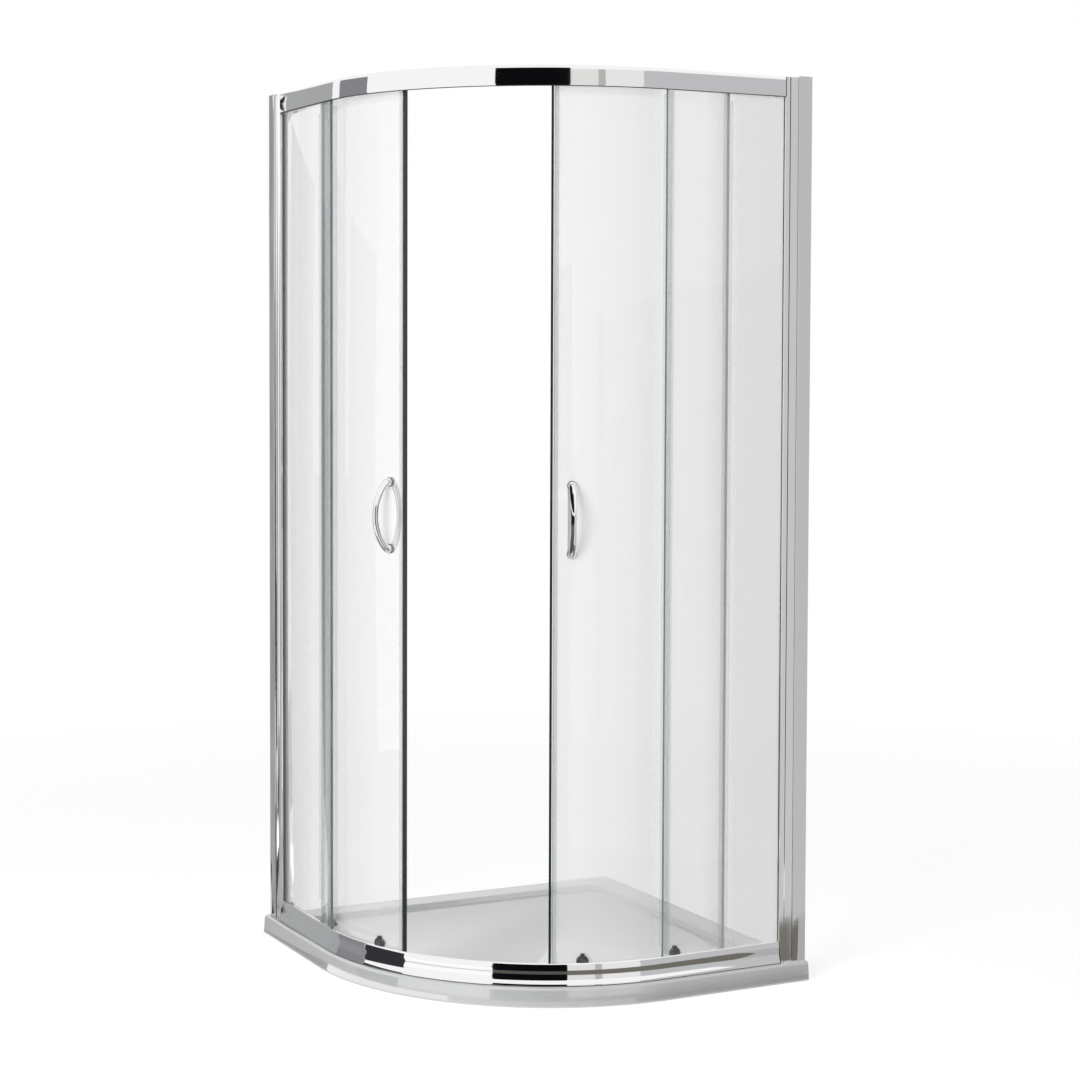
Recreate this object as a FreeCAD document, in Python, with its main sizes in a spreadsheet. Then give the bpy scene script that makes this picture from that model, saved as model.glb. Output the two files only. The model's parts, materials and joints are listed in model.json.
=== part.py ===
import FreeCAD, Part
import math
import os
from types import SimpleNamespace

import Sketcher
from FreeCAD import Placement, Rotation, Vector

# Quadrant shower enclosure with two curved sliding doors on a stone-resin tray, in millimetres.
# The origin is on the floor, under the middle of the tray's square. +Z is up. The two walls are
# the planes x = 450 and y = 450, so the curved front faces -X and -Y. The enclosure is the same
# on both sides of the upright plane x = y: the right side is drawn and the left is its mirror.
# Across the front, a radius is measured from the centre of the curved corner (ArcCentre, ArcCentre),
# and along the straight sides the same radius r lies at y = ArcCentre - r.

doc = FreeCAD.newDocument("quadrant_shower_enclosure")

# ---------------------------------------------------------------------------------------------
# The sheet of driving dimensions
# ---------------------------------------------------------------------------------------------

DIMENSIONS = [
    ("TrayWidth", 900, "side of the square that the tray fills"),
    ("TrayHeight", 40, "floor to the top of the tray"),
    ("CornerRadius", 550, "curved front of the tray"),
    ("TrayDraft", 3, "lean of the tray's front, bottom to top"),
    ("TrayEdge", 6, "rounding of the tray's top edge, cut here in two bevels"),
    ("RimWidth", 58, "level rim of the tray"),
    ("RecessDepth", 12, "rim to the tray floor"),
    ("FloorFall", 4, "depth of the dish round the waste"),
    ("WasteDish", 88, "radius of that dish"),
    ("RecessCorner", 25, "rounding of the recess corners"),
    ("WasteBore", 45, "radius of the waste hole, for a 90 mm waste"),
    ("WasteSeat", 57, "radius of the flat seat round the waste hole"),
    ("WasteReach", 400, "centre of the curved corner to the waste"),
    ("EnclosureHeight", 1876, "tray rim to the top of the rail"),
    ("FaceRadius", 532, "outer face of the rails"),
    ("RailWall", 1.6, "wall of the rail extrusions"),
    ("TopRailDepth", 44, "top rail, front to back"),
    ("RailBow", 400, "radius of the gentle bulge of the top rail's face"),
    ("RailCorner", 1.2, "rounding of the top rail's front corners"),
    ("BottomRailDepth", 32, "bottom rail, front to back above its foot"),
    ("ShoulderBow", 80, "radius of the bottom rail's sloping shoulder"),
    ("RailToe", 5, "how far the bottom rail's foot flares out"),
    ("ToeBow", 40, "radius of that flare"),
    ("TopRailHeight", 42, "height of the top rail"),
    ("BottomRailHeight", 46, "height of the bottom rail"),
    ("TrackRadius", 508.5, "middle of the track ribs"),
    ("TrackRib", 1, "thickness of the track ribs"),
    ("WebRadius", 516.1, "inner face of the web beside the fixed glass"),
    ("WebWall", 1.2, "thickness of that web"),
    ("RailEnd", 385.5, "where both rails end, along each straight side"),
    ("EndPlate", 2.5, "visible thickness of a rail end block"),
    ("PostEdge", 388, "inner edge of the wall-side post"),
    ("PostWidth", 52, "post, out from the wall"),
    ("PostDepth", 26, "post, front to back"),
    ("ScrewLine", 21, "rail face to the screws in the rail end blocks"),
    ("FixingLine", 13, "rail face to the wall fixing holes"),
    ("AdjusterLine", 20, "wall to the adjusting screws"),
    ("ChannelWidth", 33, "wall channel, out from the wall"),
    ("ChannelBow", 0.8, "how far the channel's front bulges"),
    ("ChannelHole", 3, "radius of the wall fixing holes"),
    ("HolePitch", 730, "spacing of the wall fixing holes"),
    ("RailScrew", 1.75, "radius of the screws into the rail end blocks"),
    ("GlassThickness", 6, "toughened glass of panels and doors"),
    ("FixedGlass", 518, "inner face of the fixed panels, as a radius"),
    ("FixedEdge", 104, "free edge of the fixed panel"),
    ("FixedFoot", 62.5, "lower edge of the fixed panel"),
    ("FixedHead", 1908, "upper edge of the fixed panel"),
    ("DoorGlass", 495.5, "inner radius of a door"),
    ("DoorFoot", 52, "lower edge of a door"),
    ("DoorHead", 1905, "upper edge of a door"),
    ("DoorInset", 2, "how far a closed door's arc centre lies in from the rail's"),
    ("DoorLength", 425.5, "closing line to trailing edge, along the door"),
    ("GlassHole", 5, "radius of the holes for the roller bolts"),
    ("HandleHole", 6, "radius of the holes for the handle bolts"),
    ("SealWall", 1.1, "wall of the clip-on seals"),
    ("SealGrip", 8.5, "how far the magnet seal clips over the glass"),
    ("FixedSealGrip", 16, "how far the fixed panel's seal clips over the glass"),
    ("TrailSealGrip", 12, "how far the trailing seal clips over the glass"),
    ("FinTip", 507.6, "tip of the fixed panel's fin, as a radius"),
    ("BufferStart", 201, "near end of the rubber stops, along each straight side"),
    ("BufferLength", 8, "length of a rubber stop"),
    ("MagnetWidth", 5, "width of the magnet strip"),
    ("ClosingGap", 0.3, "magnet face to the closing line"),
    ("NotchFoot", 104, "bottom of the fins, clear of the lower rollers"),
    ("NotchHead", 1866, "top of the fins, clear of the upper rollers"),
    ("LeadAngle", 8, "closing line to the leading rollers, in degrees"),
    ("TrailAngle", 31.5, "closing line to the trailing rollers, in degrees"),
    ("WheelRadius", 9.5, "flanges of a roller wheel"),
    ("GrooveRadius", 6.5, "floor of the wheel's groove"),
    ("WheelWidth", 9, "width of a roller wheel"),
    ("WheelFlange", 1, "thickness of each wheel flange"),
    ("WheelBore", 3.05, "radius of the wheel's bore"),
    ("AxleRadius", 3, "radius of the wheel's axle"),
    ("TopAxle", 1887.8, "height of the top wheels"),
    ("BottomAxle", 64.7, "height of the bottom wheels"),
    ("HousingHeight", 84, "height of the bottom roller housings"),
    ("HousingRadius", 12.5, "radius of a bottom roller housing"),
    ("HousingDepth", 9, "how far a housing stands off the glass"),
    ("HousingFoot", 5, "middle of a housing down to its level foot"),
    ("ButtonFoot", 10.5, "middle of a housing up to its button"),
    ("ButtonHeight", 5.5, "height of a release button above its plate"),
    ("ReleaseStroke", 4, "travel of a release button"),
    ("HandleHeight", 995, "middle of the handles"),
    ("HandleSpan", 140, "between the handle bolts"),
    ("HandleAngle", 5.2, "closing line to the handle, in degrees"),
    ("HandleFoot", 9.5, "radius of a handle foot"),
    ("HandleStand", 8, "height of a handle foot"),
    ("HandleDepth", 6.5, "half the depth of a grip at its middle"),
    ("HandleWasher", 1.05, "thickness of a handle washer"),
    ("OuterReach", 47.5, "how far the outer handle stands off the glass"),
    ("InnerReach", 32, "how far the inner handle stands off the glass"),
    ("HingeAcross", 123, "x of the axis that the right door swings about"),
    ("HingeAlong", 118, "y of that axis"),
    ("ShownOpening", 17.4, "turn of each door from closed to its place at rest"),
]


class Size:
    """A length or angle that knows its value and the sheet expression that gives it."""

    def __init__(self, value, text=None):
        self.value = float(value)
        self.text = text if text is not None else repr(float(value))

    def combine(self, other, sign, value):
        return Size(value, f"({self.text} {sign} {other.text})")

    def __add__(self, other):
        other = as_size(other)
        return self.combine(other, "+", self.value + other.value)

    def __sub__(self, other):
        other = as_size(other)
        return self.combine(other, "-", self.value - other.value)

    def __mul__(self, other):
        other = as_size(other)
        return self.combine(other, "*", self.value * other.value)

    def __truediv__(self, other):
        other = as_size(other)
        return self.combine(other, "/", self.value / other.value)

    def __neg__(self):
        return Size(-self.value, f"(-1 * {self.text})")

    def __radd__(self, other):
        return as_size(other) + self

    def __rsub__(self, other):
        return as_size(other) - self


def as_size(number):
    return number if isinstance(number, Size) else Size(number)


def cosine(angle):
    return Size(math.cos(math.radians(angle.value)), f"cos({angle.text} * 1 deg)")


def sine(angle):
    return Size(math.sin(math.radians(angle.value)), f"sin({angle.text} * 1 deg)")


sheet = doc.addObject("Spreadsheet::Sheet", "Sheet")
for row, (alias, value, note) in enumerate(DIMENSIONS, start=1):
    sheet.set(f"A{row}", alias)
    sheet.set(f"B{row}", str(value))
    sheet.set(f"C{row}", note)
    sheet.setAlias(f"B{row}", alias)
doc.recompute()

size = SimpleNamespace(**{alias: Size(value, f"Sheet.{alias}") for alias, value, _ in DIMENSIONS})

half = size.TrayWidth / 2
arc_centre = half * -1 + size.CornerRadius
wall = half
top = size.TrayHeight + size.EnclosureHeight
rail_foot = top - size.TopRailHeight
glass_outer = size.DoorGlass + size.GlassThickness
post_back = size.PostEdge + size.PostWidth


def flat(radius):
    """The y of a straight side that carries on the arc of this radius."""
    return arc_centre - as_size(radius)


# ---------------------------------------------------------------------------------------------
# Helpers: binding, sketches, features
# ---------------------------------------------------------------------------------------------

pieces = []


def keep(obj, label):
    obj.Label = label
    pieces.append(obj)
    return obj


def bind(obj, **sizes):
    for name, value in sizes.items():
        obj.setExpression(name.replace("__", "."), as_size(value).text)
        if "__" not in name:
            setattr(obj, name, as_size(value).value)
    return obj


def new_body(name):
    return doc.addObject("PartDesign::Body", name)


def new_sketch(body, name, role="XY_Plane", offset=0):
    sketch = body.newObject("Sketcher::SketchObject", name)
    plane = [item for item in body.Origin.OriginFeatures if item.Role == role][0]
    sketch.AttachmentSupport = [(plane, "")]
    sketch.MapMode = "FlatFace"
    sketch.AttachmentOffset = Placement(Vector(0, 0, as_size(offset).value), Rotation())
    sketch.setExpression("AttachmentOffset.Base.z", as_size(offset).text)
    return sketch


def arc_between(start, end, radius):
    """The minor arc from start to end: a positive radius bows to the left of the way, else right."""
    chord = end - start
    left = Vector(-chord.y, chord.x, 0).normalize()
    reach = math.sqrt(max(radius ** 2 - (chord.Length / 2) ** 2, 0))
    centre = (start + end) / 2 - left * math.copysign(reach, radius)
    circle = Part.Circle(centre, Vector(0, 0, 1), abs(radius))
    first, last = (end, start) if radius > 0 else (start, end)
    angles = [math.atan2(point.y - centre.y, point.x - centre.x) for point in (first, last)]
    return Part.ArcOfCircle(circle, angles[0], angles[1])


def draw(sketch, outline):
    """Draws a closed outline. A corner is (u, v), or (u, v, radius) where an arc arrives at it."""
    corners = [tuple(as_size(value) for value in corner) for corner in outline]
    points = [Vector(corner[0].value, corner[1].value, 0) for corner in corners]
    first = sketch.GeometryCount
    count = len(corners)
    rules = []
    for index in range(count):
        following = (index + 1) % count
        bow = corners[following][2] if len(corners[following]) == 3 else None
        if bow is None:
            sketch.addGeometry(Part.LineSegment(points[index], points[following]))
        else:
            sketch.addGeometry(arc_between(points[index], points[following], bow.value))
            edge = first + index
            radius = abs(bow.value)
            sign = 1 if bow.value > 0 else -1
            rules.append((f"bow{edge}", Sketcher.Constraint("Radius", edge, radius), bow * sign))
    for index in range(count):
        edge = first + index
        geometry = sketch.Geometry[edge]
        start_first = (geometry.StartPoint - points[index]).Length < 1e-6
        start = 1 if start_first else 2
        for kind, axis, value in (("DistanceX", -2, corners[index][0]),
                                  ("DistanceY", -1, corners[index][1])):
            if abs(value.value) < 1e-9:
                rules.append((None, Sketcher.Constraint("PointOnObject", edge, start, axis), None))
            else:
                rule = Sketcher.Constraint(kind, -1, 1, edge, start, value.value)
                rules.append((f"at{edge}{kind[-1]}", rule, value))
        following = first + (index + 1) % count
        after = sketch.Geometry[following]
        joined = 1 if (after.StartPoint - points[(index + 1) % count]).Length < 1e-6 else 2
        rules.append((None, Sketcher.Constraint("Coincident", edge, 3 - start, following, joined), None))
    for name, rule, value in rules:
        number = sketch.addConstraint(rule)
        if value is not None:
            sketch.renameConstraint(number, name)
            sketch.setExpression(f"Constraints.{name}", value.text)
    return sketch


def draw_path(sketch, points, radius):
    """An open path of two straights joined by a tangent arc, given by its four corners."""
    way = [Vector(u.value, v.value, 0) for u, v in points]
    sketch.addGeometry(Part.LineSegment(way[0], way[1]))
    sketch.addGeometry(arc_between(way[1], way[2], radius.value))
    sketch.addGeometry(Part.LineSegment(way[2], way[3]))
    for edge, point, corner in ((0, 1, 0), (0, 2, 1), (2, 1, 2), (2, 2, 3)):
        for axis, value in (("X", points[corner][0]), ("Y", points[corner][1])):
            number = sketch.addConstraint(
                Sketcher.Constraint(f"Distance{axis}", -1, 1, edge, point, value.value))
            sketch.renameConstraint(number, f"way{corner}{axis}")
            sketch.setExpression(f"Constraints.way{corner}{axis}", value.text)
    arc = sketch.Geometry[1]
    near = 1 if (arc.StartPoint - way[1]).Length < 1e-6 else 2
    sketch.addConstraint(Sketcher.Constraint("Coincident", 0, 2, 1, near))
    sketch.addConstraint(Sketcher.Constraint("Coincident", 2, 1, 1, 3 - near))
    number = sketch.addConstraint(Sketcher.Constraint("Radius", 1, radius.value))
    sketch.renameConstraint(number, "bend")
    sketch.setExpression("Constraints.bend", radius.text)
    return sketch


def pad(body, sketch, length):
    feature = body.newObject("PartDesign::Pad", "Pad")
    feature.Profile = sketch
    bind(feature, Length=length)
    return feature


def prism(name, outline, foot, head, role="XY_Plane"):
    """A body made of one outline, pushed from foot to head."""
    body = new_body(name)
    pad(body, draw(new_sketch(body, f"{name}_outline", role, foot), outline), head - foot)
    return body


def add_prism(body, name, outline, foot, head, role="XY_Plane"):
    pad(body, draw(new_sketch(body, name, role, foot), outline), head - foot)


def rectangle(low_u, low_v, high_u, high_v):
    return [(low_u, low_v), (high_u, low_v), (high_u, high_v), (low_u, high_v)]


def turned(name, outline):
    """A body turned round the X axis from an outline of (x, radius) corners."""
    body = new_body(name)
    sketch = draw(new_sketch(body, f"{name}_outline", "XZ_Plane"), outline)
    feature = body.newObject("PartDesign::Revolution", "Revolution")
    feature.Profile = sketch
    feature.ReferenceAxis = (sketch, ["H_Axis"])
    feature.Angle = 360
    return body


ALONG_X = Rotation(Vector(0, 1, 0), 90)
ALONG_Y = Rotation(Vector(1, 0, 0), -90)


def rod(name, radius, length, place):
    return bind(place_at(doc.addObject("Part::Cylinder", name), place), Radius=radius, Height=length)


def place_at(obj, place):
    obj.Placement = place
    return obj


def box(name, low, high):
    """A box bound to its two opposite corners."""
    obj = doc.addObject("Part::Box", name)
    low = [as_size(value) for value in low]
    high = [as_size(value) for value in high]
    bind(obj, Length=high[0] - low[0], Width=high[1] - low[1], Height=high[2] - low[2])
    obj.Placement = Placement(Vector(*[value.value for value in low]), Rotation())
    for axis, value in zip("xyz", low):
        obj.setExpression(f"Placement.Base.{axis}", value.text)
    return obj


def group(name, items):
    obj = doc.addObject("Part::Compound", name)
    obj.Links = items
    return obj


def fuse(name, items):
    obj = doc.addObject("Part::MultiFuse", name)
    obj.Shapes = items
    return obj


def cut(name, base, tools):
    obj = doc.addObject("Part::Cut", name)
    obj.Base = base
    obj.Tool = tools[0] if len(tools) == 1 else group(f"{name}_tools", tools)
    return obj


def mirrored(source, name):
    """The same piece on the other side of the plane x = y."""
    obj = doc.addObject("Part::Mirroring", name)
    obj.Source = source
    obj.Base = Vector(0, 0, 0)
    obj.Normal = Vector(1, -1, 0)
    return obj


def both_sides(obj, stem):
    """Keeps a right-hand piece and its left-hand mirror as two pieces."""
    keep(obj, f"{stem}_right")
    keep(mirrored(obj, f"{stem}_left"), f"{stem}_left")


# ---------------------------------------------------------------------------------------------
# Tray: a stone-resin slab with a level rim, a floor that dishes to the waste, and its hole
# ---------------------------------------------------------------------------------------------

def quadrant(back, radius):
    """The plan of the tray: a square with one corner rounded to the curved front."""
    front = arc_centre - radius
    return [(back, back), (front, back), (front, arc_centre), (arc_centre, front, -radius),
            (back, front)]


def shower_tray():
    body = new_body("tray_slab")
    edge = size.TrayEdge
    bevel = edge * (1 - math.sqrt(0.5))
    levels = [(0, 0), (size.TrayHeight - edge, size.TrayDraft),
              (size.TrayHeight - bevel, size.TrayDraft + bevel),
              (size.TrayHeight, size.TrayDraft + edge)]
    plans = [draw(new_sketch(body, f"tray_plan_{number}", offset=height),
                  quadrant(half, size.CornerRadius - inset))
             for number, (height, inset) in enumerate(levels)]
    loft = body.newObject("PartDesign::AdditiveLoft", "Slab")
    loft.Profile = plans[0]
    loft.Sections = plans[1:]
    loft.Ruled = True

    inner = half - size.RimWidth
    plan = quadrant(inner, size.CornerRadius - size.RimWidth)
    recess_foot = size.TrayHeight - size.RecessDepth
    recess = prism("tray_recess", plan, recess_foot, size.TrayHeight + 2)
    doc.recompute()
    corners = [f"Edge{number}" for number, edge in enumerate(recess.Shape.Edges, start=1)
               if edge.BoundBox.XLength < 1e-3 and edge.BoundBox.YLength < 1e-3
               and (edge.BoundBox.XMax > inner.value - 1 or edge.BoundBox.YMax > inner.value - 1)]
    prism_feature = recess.Tip
    soften = recess.newObject("PartDesign::Fillet", "RecessCorners")
    soften.Base = (prism_feature, corners)
    bind(soften, Radius=size.RecessCorner)

    waste = arc_centre - size.WasteReach * math.sqrt(0.5)
    fall = doc.addObject("Part::Cone", "tray_fall")
    bind(fall, Radius1=size.WasteSeat, Radius2=size.WasteDish, Height=size.FloorFall)
    fall.Placement = Placement(
        Vector(waste.value, waste.value, (recess_foot - size.FloorFall).value), Rotation())
    hole = rod("waste_hole", size.WasteBore, size.TrayHeight + 2,
               Placement(Vector(waste.value, waste.value, -1), Rotation()))
    keep(cut("tray", body, [fuse("tray_hollow", [recess, fall]), hole]), "shower_tray")


# ---------------------------------------------------------------------------------------------
# Rails: two bent aluminium extrusions that carry the same section round the whole front
# ---------------------------------------------------------------------------------------------

def bent_rail(name, section):
    """Sweeps a section of (radius, height) corners along straight, curve and straight."""
    body = new_body(name)
    face = flat(size.FaceRadius)
    path = draw_path(new_sketch(body, f"{name}_path"),
                     [(size.RailEnd, face), (arc_centre, face), (face, arc_centre),
                      (face, size.RailEnd)], size.FaceRadius)
    outline = [(flat(corner[0]), *corner[1:]) for corner in section]
    profile = draw(new_sketch(body, f"{name}_section", "YZ_Plane", size.RailEnd), outline)
    pipe = body.newObject("PartDesign::AdditivePipe", "Bend")
    pipe.Profile = profile
    pipe.Spine = (path, ["Edge1", "Edge2", "Edge3"])
    pipe.Transition = "Right corner"
    keep(body, name)


def top_rail():
    face = size.FaceRadius
    web = size.WebRadius
    web_out = web + size.WebWall
    rib = size.TrackRadius - size.TrackRib / 2
    rib_out = size.TrackRadius + size.TrackRib / 2
    inner = face - size.TopRailDepth
    wall_in = inner + size.RailWall
    plate = top - size.RailWall
    ledge = rail_foot + 2
    ledge_top = ledge + size.RailWall
    rib_top = size.TopAxle - size.GrooveRadius - 0.3
    lip = size.FixedGlass + size.GlassThickness + 1.4
    corner = size.RailCorner
    bent_rail("top_rail", [
        (inner, top), (inner, top - 6), (wall_in, top - 6), (wall_in, plate), (web, plate),
        (web, ledge_top), (rib_out, ledge_top), (rib_out, rib_top), (rib, rib_top),
        (rib, ledge_top), (rib - 0.6, ledge_top), (rib - 0.6, ledge), (web_out, ledge),
        (web_out, plate), (face - 2.1, plate), (face - 2.3, rail_foot + size.RailWall),
        (lip, rail_foot + size.RailWall), (lip, rail_foot), (face - 1.7, rail_foot),
        (face - 0.5, rail_foot + corner, corner), (face - 0.5, top - corner, size.RailBow),
        (face - 1.7, top, corner),
    ])


def bottom_rail():
    face = size.FaceRadius
    foot = size.TrayHeight
    head = foot + size.BottomRailHeight
    web = size.WebRadius
    web_out = web + size.WebWall
    rib = size.TrackRadius - size.TrackRib / 2
    rib_out = size.TrackRadius + size.TrackRib / 2
    floor = foot + 1.8
    dam = face - size.BottomRailDepth
    dam_out = dam + size.RailWall
    rib_foot = size.BottomAxle + size.GrooveRadius + 0.3
    flange = head - 11
    glass_seat = size.FixedFoot - 0.5
    pocket = size.FixedGlass + size.GlassThickness + 0.8
    toe = face + size.RailToe
    bent_rail("bottom_rail", [
        (dam, foot), (dam, foot + 8), (dam_out, foot + 8), (dam_out, floor), (web, floor),
        (web, flange), (rib_out, flange), (rib_out, rib_foot), (rib, rib_foot),
        (rib, flange + 1.5), (web, flange + 1.5), (web, head - 8), (web_out, head - 8),
        (web_out, glass_seat), (pocket - 1.5, glass_seat), (pocket - 1.5, glass_seat - 1.5),
        (web_out, glass_seat - 1.5), (web_out, floor), (toe - 2.4, floor),
        (face - 1.6, foot + 16.5), (face - 1.6, foot + 27.5), (face - 5, head - 4),
        (pocket + 1.4, head - 6), (pocket + 1.4, glass_seat + 4), (pocket, glass_seat + 4),
        (pocket, head - 1), (pocket + 1, head, -1), (face - 4.6, head),
        (face - 3.6, head - 1, -1), (face, foot + 28, -size.ShoulderBow), (face, foot + 16),
        (toe, foot + 1.6, size.ToeBow), (toe, foot),
    ])


# ---------------------------------------------------------------------------------------------
# Wall side: channel on the wall, its cap, the post that slides in it, and the rail end blocks
# ---------------------------------------------------------------------------------------------

post_front = flat(size.FaceRadius)
post_rear = post_front + size.PostDepth
screw_line = post_front + size.ScrewLine
fixing_line = post_front + size.FixingLine
bore_side = wall - size.AdjusterLine
adjuster_heights = [300, 980, 1660]
channel_bow = (size.ChannelWidth * size.ChannelWidth / 4 + size.ChannelBow * size.ChannelBow) \
    / (size.ChannelBow * 2)


def wall_fixing_heights():
    return [size.TrayHeight + 210 + size.HolePitch * step for step in range(3)]


def wall_channel():
    edge = wall - size.ChannelWidth
    front = post_front - 2
    rear = post_rear + 2
    sheet_wall = size.RailWall
    blank = prism("channel_blank", [
        (edge, front), (wall, front, -channel_bow), (wall, rear), (edge, rear),
        (edge, rear - sheet_wall), (wall - sheet_wall, rear - sheet_wall),
        (wall - sheet_wall, front + sheet_wall), (edge, front + sheet_wall),
    ], size.TrayHeight, top)
    holes = [rod(f"wall_hole_{step}", size.ChannelHole, 6,
                 Placement(Vector(wall.value - 4, fixing_line.value, height.value), ALONG_X))
             for step, height in enumerate(wall_fixing_heights())]
    holes += [rod(f"adjuster_hole_{step}", 2.2, 6,
                  Placement(Vector(bore_side.value, rear.value - 4, height), ALONG_Y))
              for step, height in enumerate(adjuster_heights)]
    both_sides(cut("channel", blank, holes), "wall_channel")


def channel_cap():
    edge = wall - size.ChannelWidth
    front = post_front - 2
    rear = post_rear + 2
    body = prism("cap", [(edge, front), (wall, front, -channel_bow), (wall, rear), (edge, rear)],
                 top, top + 2.5)
    add_prism(body, "cap_plug",
              rectangle(post_back + 1, post_front, wall - 2, post_rear), top - 8, top)
    both_sides(body, "channel_cap")


def frame_post():
    edge = size.PostEdge
    lip_front = post_front + 3
    pocket_front = lip_front + 1.6
    pocket_rear = flat(size.FixedGlass) + 3.4
    tube = edge + 16
    body = new_body("post")
    sketch = new_sketch(body, "post_section", offset=size.TrayHeight)
    draw(sketch, [
        (edge, lip_front), (edge + 10, lip_front), (edge + 10, post_front), (post_back, post_front),
        (post_back, post_rear), (tube, post_rear), (tube, pocket_rear + 1.6),
        (edge, pocket_rear + 1.6), (edge, pocket_rear), (tube - 1.6, pocket_rear),
        (tube - 1.6, pocket_front), (edge, pocket_front),
    ])
    draw(sketch, rectangle(tube + 1.6, post_front + 1.6, post_back - 1.6, post_rear - 1.6))
    pad(body, sketch, size.EnclosureHeight)
    holes = [rod(f"rail_screw_hole_{step}", size.RailScrew, 4,
                 Placement(Vector(tube.value - 1, screw_line.value, height), ALONG_X))
             for step, height in enumerate(rail_screw_heights())]
    holes += [rod(f"adjuster_bore_{step}", 2, 4,
                  Placement(Vector(bore_side.value, post_rear.value - 3, height), ALONG_Y))
              for step, height in enumerate(adjuster_heights)]
    both_sides(cut("post_drilled", body, holes), "frame_post")


def rail_screw_heights():
    return [50, 64, top.value - 28, top.value - 10]


def rail_end_blocks():
    """Black blocks that close each rail end and take the screws from the post."""
    plate = size.RailEnd + size.EndPlate
    face = size.FaceRadius
    glass_in = flat(size.FixedGlass) + 0.6
    glass_out = flat(size.FixedGlass + size.GlassThickness) - 0.6
    web = flat(size.WebRadius)
    boss_rear = screw_line + 8.5
    inner = flat(face - 42)
    outlines = {
        "bottom": [
            (flat(face - 30), size.TrayHeight + 0.2), (flat(face + 4.2), size.TrayHeight + 0.2),
            (flat(face - 0.5), size.TrayHeight + 16), (flat(face - 0.5), size.TrayHeight + 28),
            (flat(face - 4.4), size.TrayHeight + 45.2), (glass_out, size.TrayHeight + 45.2),
            (glass_out, size.FixedFoot - 0.3), (glass_in, size.FixedFoot - 0.3),
            (glass_in, size.TrayHeight + 37.8), (flat(face - 30), size.TrayHeight + 37.8)],
        "top": [
            (inner, top - 0.4), (inner, rail_foot + 3), (glass_in, rail_foot + 3),
            (glass_in, size.FixedHead + 0.3), (glass_out, size.FixedHead + 0.3),
            (glass_out, rail_foot + 0.6), (flat(face - 1), rail_foot + 0.6),
            (flat(face - 1), top - 0.4)],
    }
    levels = {"bottom": (size.TrayHeight + 2, size.TrayHeight + 31),
              "top": (rail_foot + 8, top - 2)}
    for end, outline in outlines.items():
        body = prism(f"block_{end}", outline, size.RailEnd, plate, "YZ_Plane")
        low, high = levels[end]
        add_prism(body, f"{end}_plug", rectangle(web + 0.4, low, web + 13, high),
                  size.RailEnd - 15, size.RailEnd, "YZ_Plane")
        add_prism(body, f"{end}_boss", rectangle(web + 3.3, low, boss_rear, high),
                  plate, size.PostEdge + 16, "YZ_Plane")
        heights = rail_screw_heights()[:2] if end == "bottom" else rail_screw_heights()[2:]
        holes = [rod(f"{end}_pilot_{step}", size.RailScrew, 40,
                     Placement(Vector(size.RailEnd.value - 10, screw_line.value, height), ALONG_X))
                 for step, height in enumerate(heights)]
        both_sides(cut(f"{end}_block", body, holes), f"rail_end_block_{end}")


def screw(name, place, radius, length, head_radius, head_height):
    """A pan-head screw along +Z of its place: shank first, head at the far end."""
    shank = rod(f"{name}_shank", radius, length, Placement())
    head = rod(f"{name}_head", head_radius, head_height, Placement(Vector(0, 0, length), Rotation()))
    return place_at(fuse(name, [shank, head]), place)


def frame_screws():
    inner_wall = size.PostEdge.value + 17.6
    right = [screw(f"rail_screw_{step}", Placement(
        Vector(inner_wall - 28, screw_line.value, height), ALONG_X), size.RailScrew, 28, 3.3, 2.4)
        for step, height in enumerate(rail_screw_heights())]
    right = group("rail_screws_one_side", right)
    keep(group("rail_screws_all", [right, mirrored(right, "rail_screws_other_side")]), "rail_screws")
    rear = post_rear.value + 2
    right = [screw(f"adjuster_{step}", Placement(
        Vector(bore_side.value, rear - 8, height), ALONG_Y), 2, 8, 4.2, 2.2)
        for step, height in enumerate(adjuster_heights)]
    right = group("adjusters_one_side", right)
    keep(group("adjusters_all", [right, mirrored(right, "adjusters_other_side")]), "adjusting_screws")


# ---------------------------------------------------------------------------------------------
# Fixed panels: flat glass, the black gasket in the post, and the seal on the free edge
# ---------------------------------------------------------------------------------------------

glass_rear = flat(size.FixedGlass)
glass_front = flat(size.FixedGlass + size.GlassThickness)
glass_end = size.PostEdge + 12


def fixed_glass():
    pane = box("fixed_pane", (size.FixedEdge, glass_front, size.FixedFoot),
               (glass_end, glass_rear, size.FixedHead))
    both_sides(pane, "fixed_glass")


def glazing_gasket():
    """A U of black rubber round the pane in the post, and a wedge strip under the top rail."""
    edge = size.PostEdge
    pocket = edge + 14.4
    front = post_front + 4.6
    rear = glass_rear + 3.4
    body = prism("gasket", [
        (edge, front), (pocket, front), (pocket, rear), (edge, rear),
        (edge, glass_rear), (glass_end, glass_rear), (glass_end, glass_front),
        (edge, glass_front),
    ], size.TrayHeight + 46.5, rail_foot - 0.5)
    strip = box("gasket_strip", (size.FixedEdge + 2, glass_front - 1.4, rail_foot + 0.2),
                (size.RailEnd - 0.5, glass_front, rail_foot + 1.5))
    both_sides(group("gasket_parts", [body, strip]), "glazing_gasket")


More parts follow.
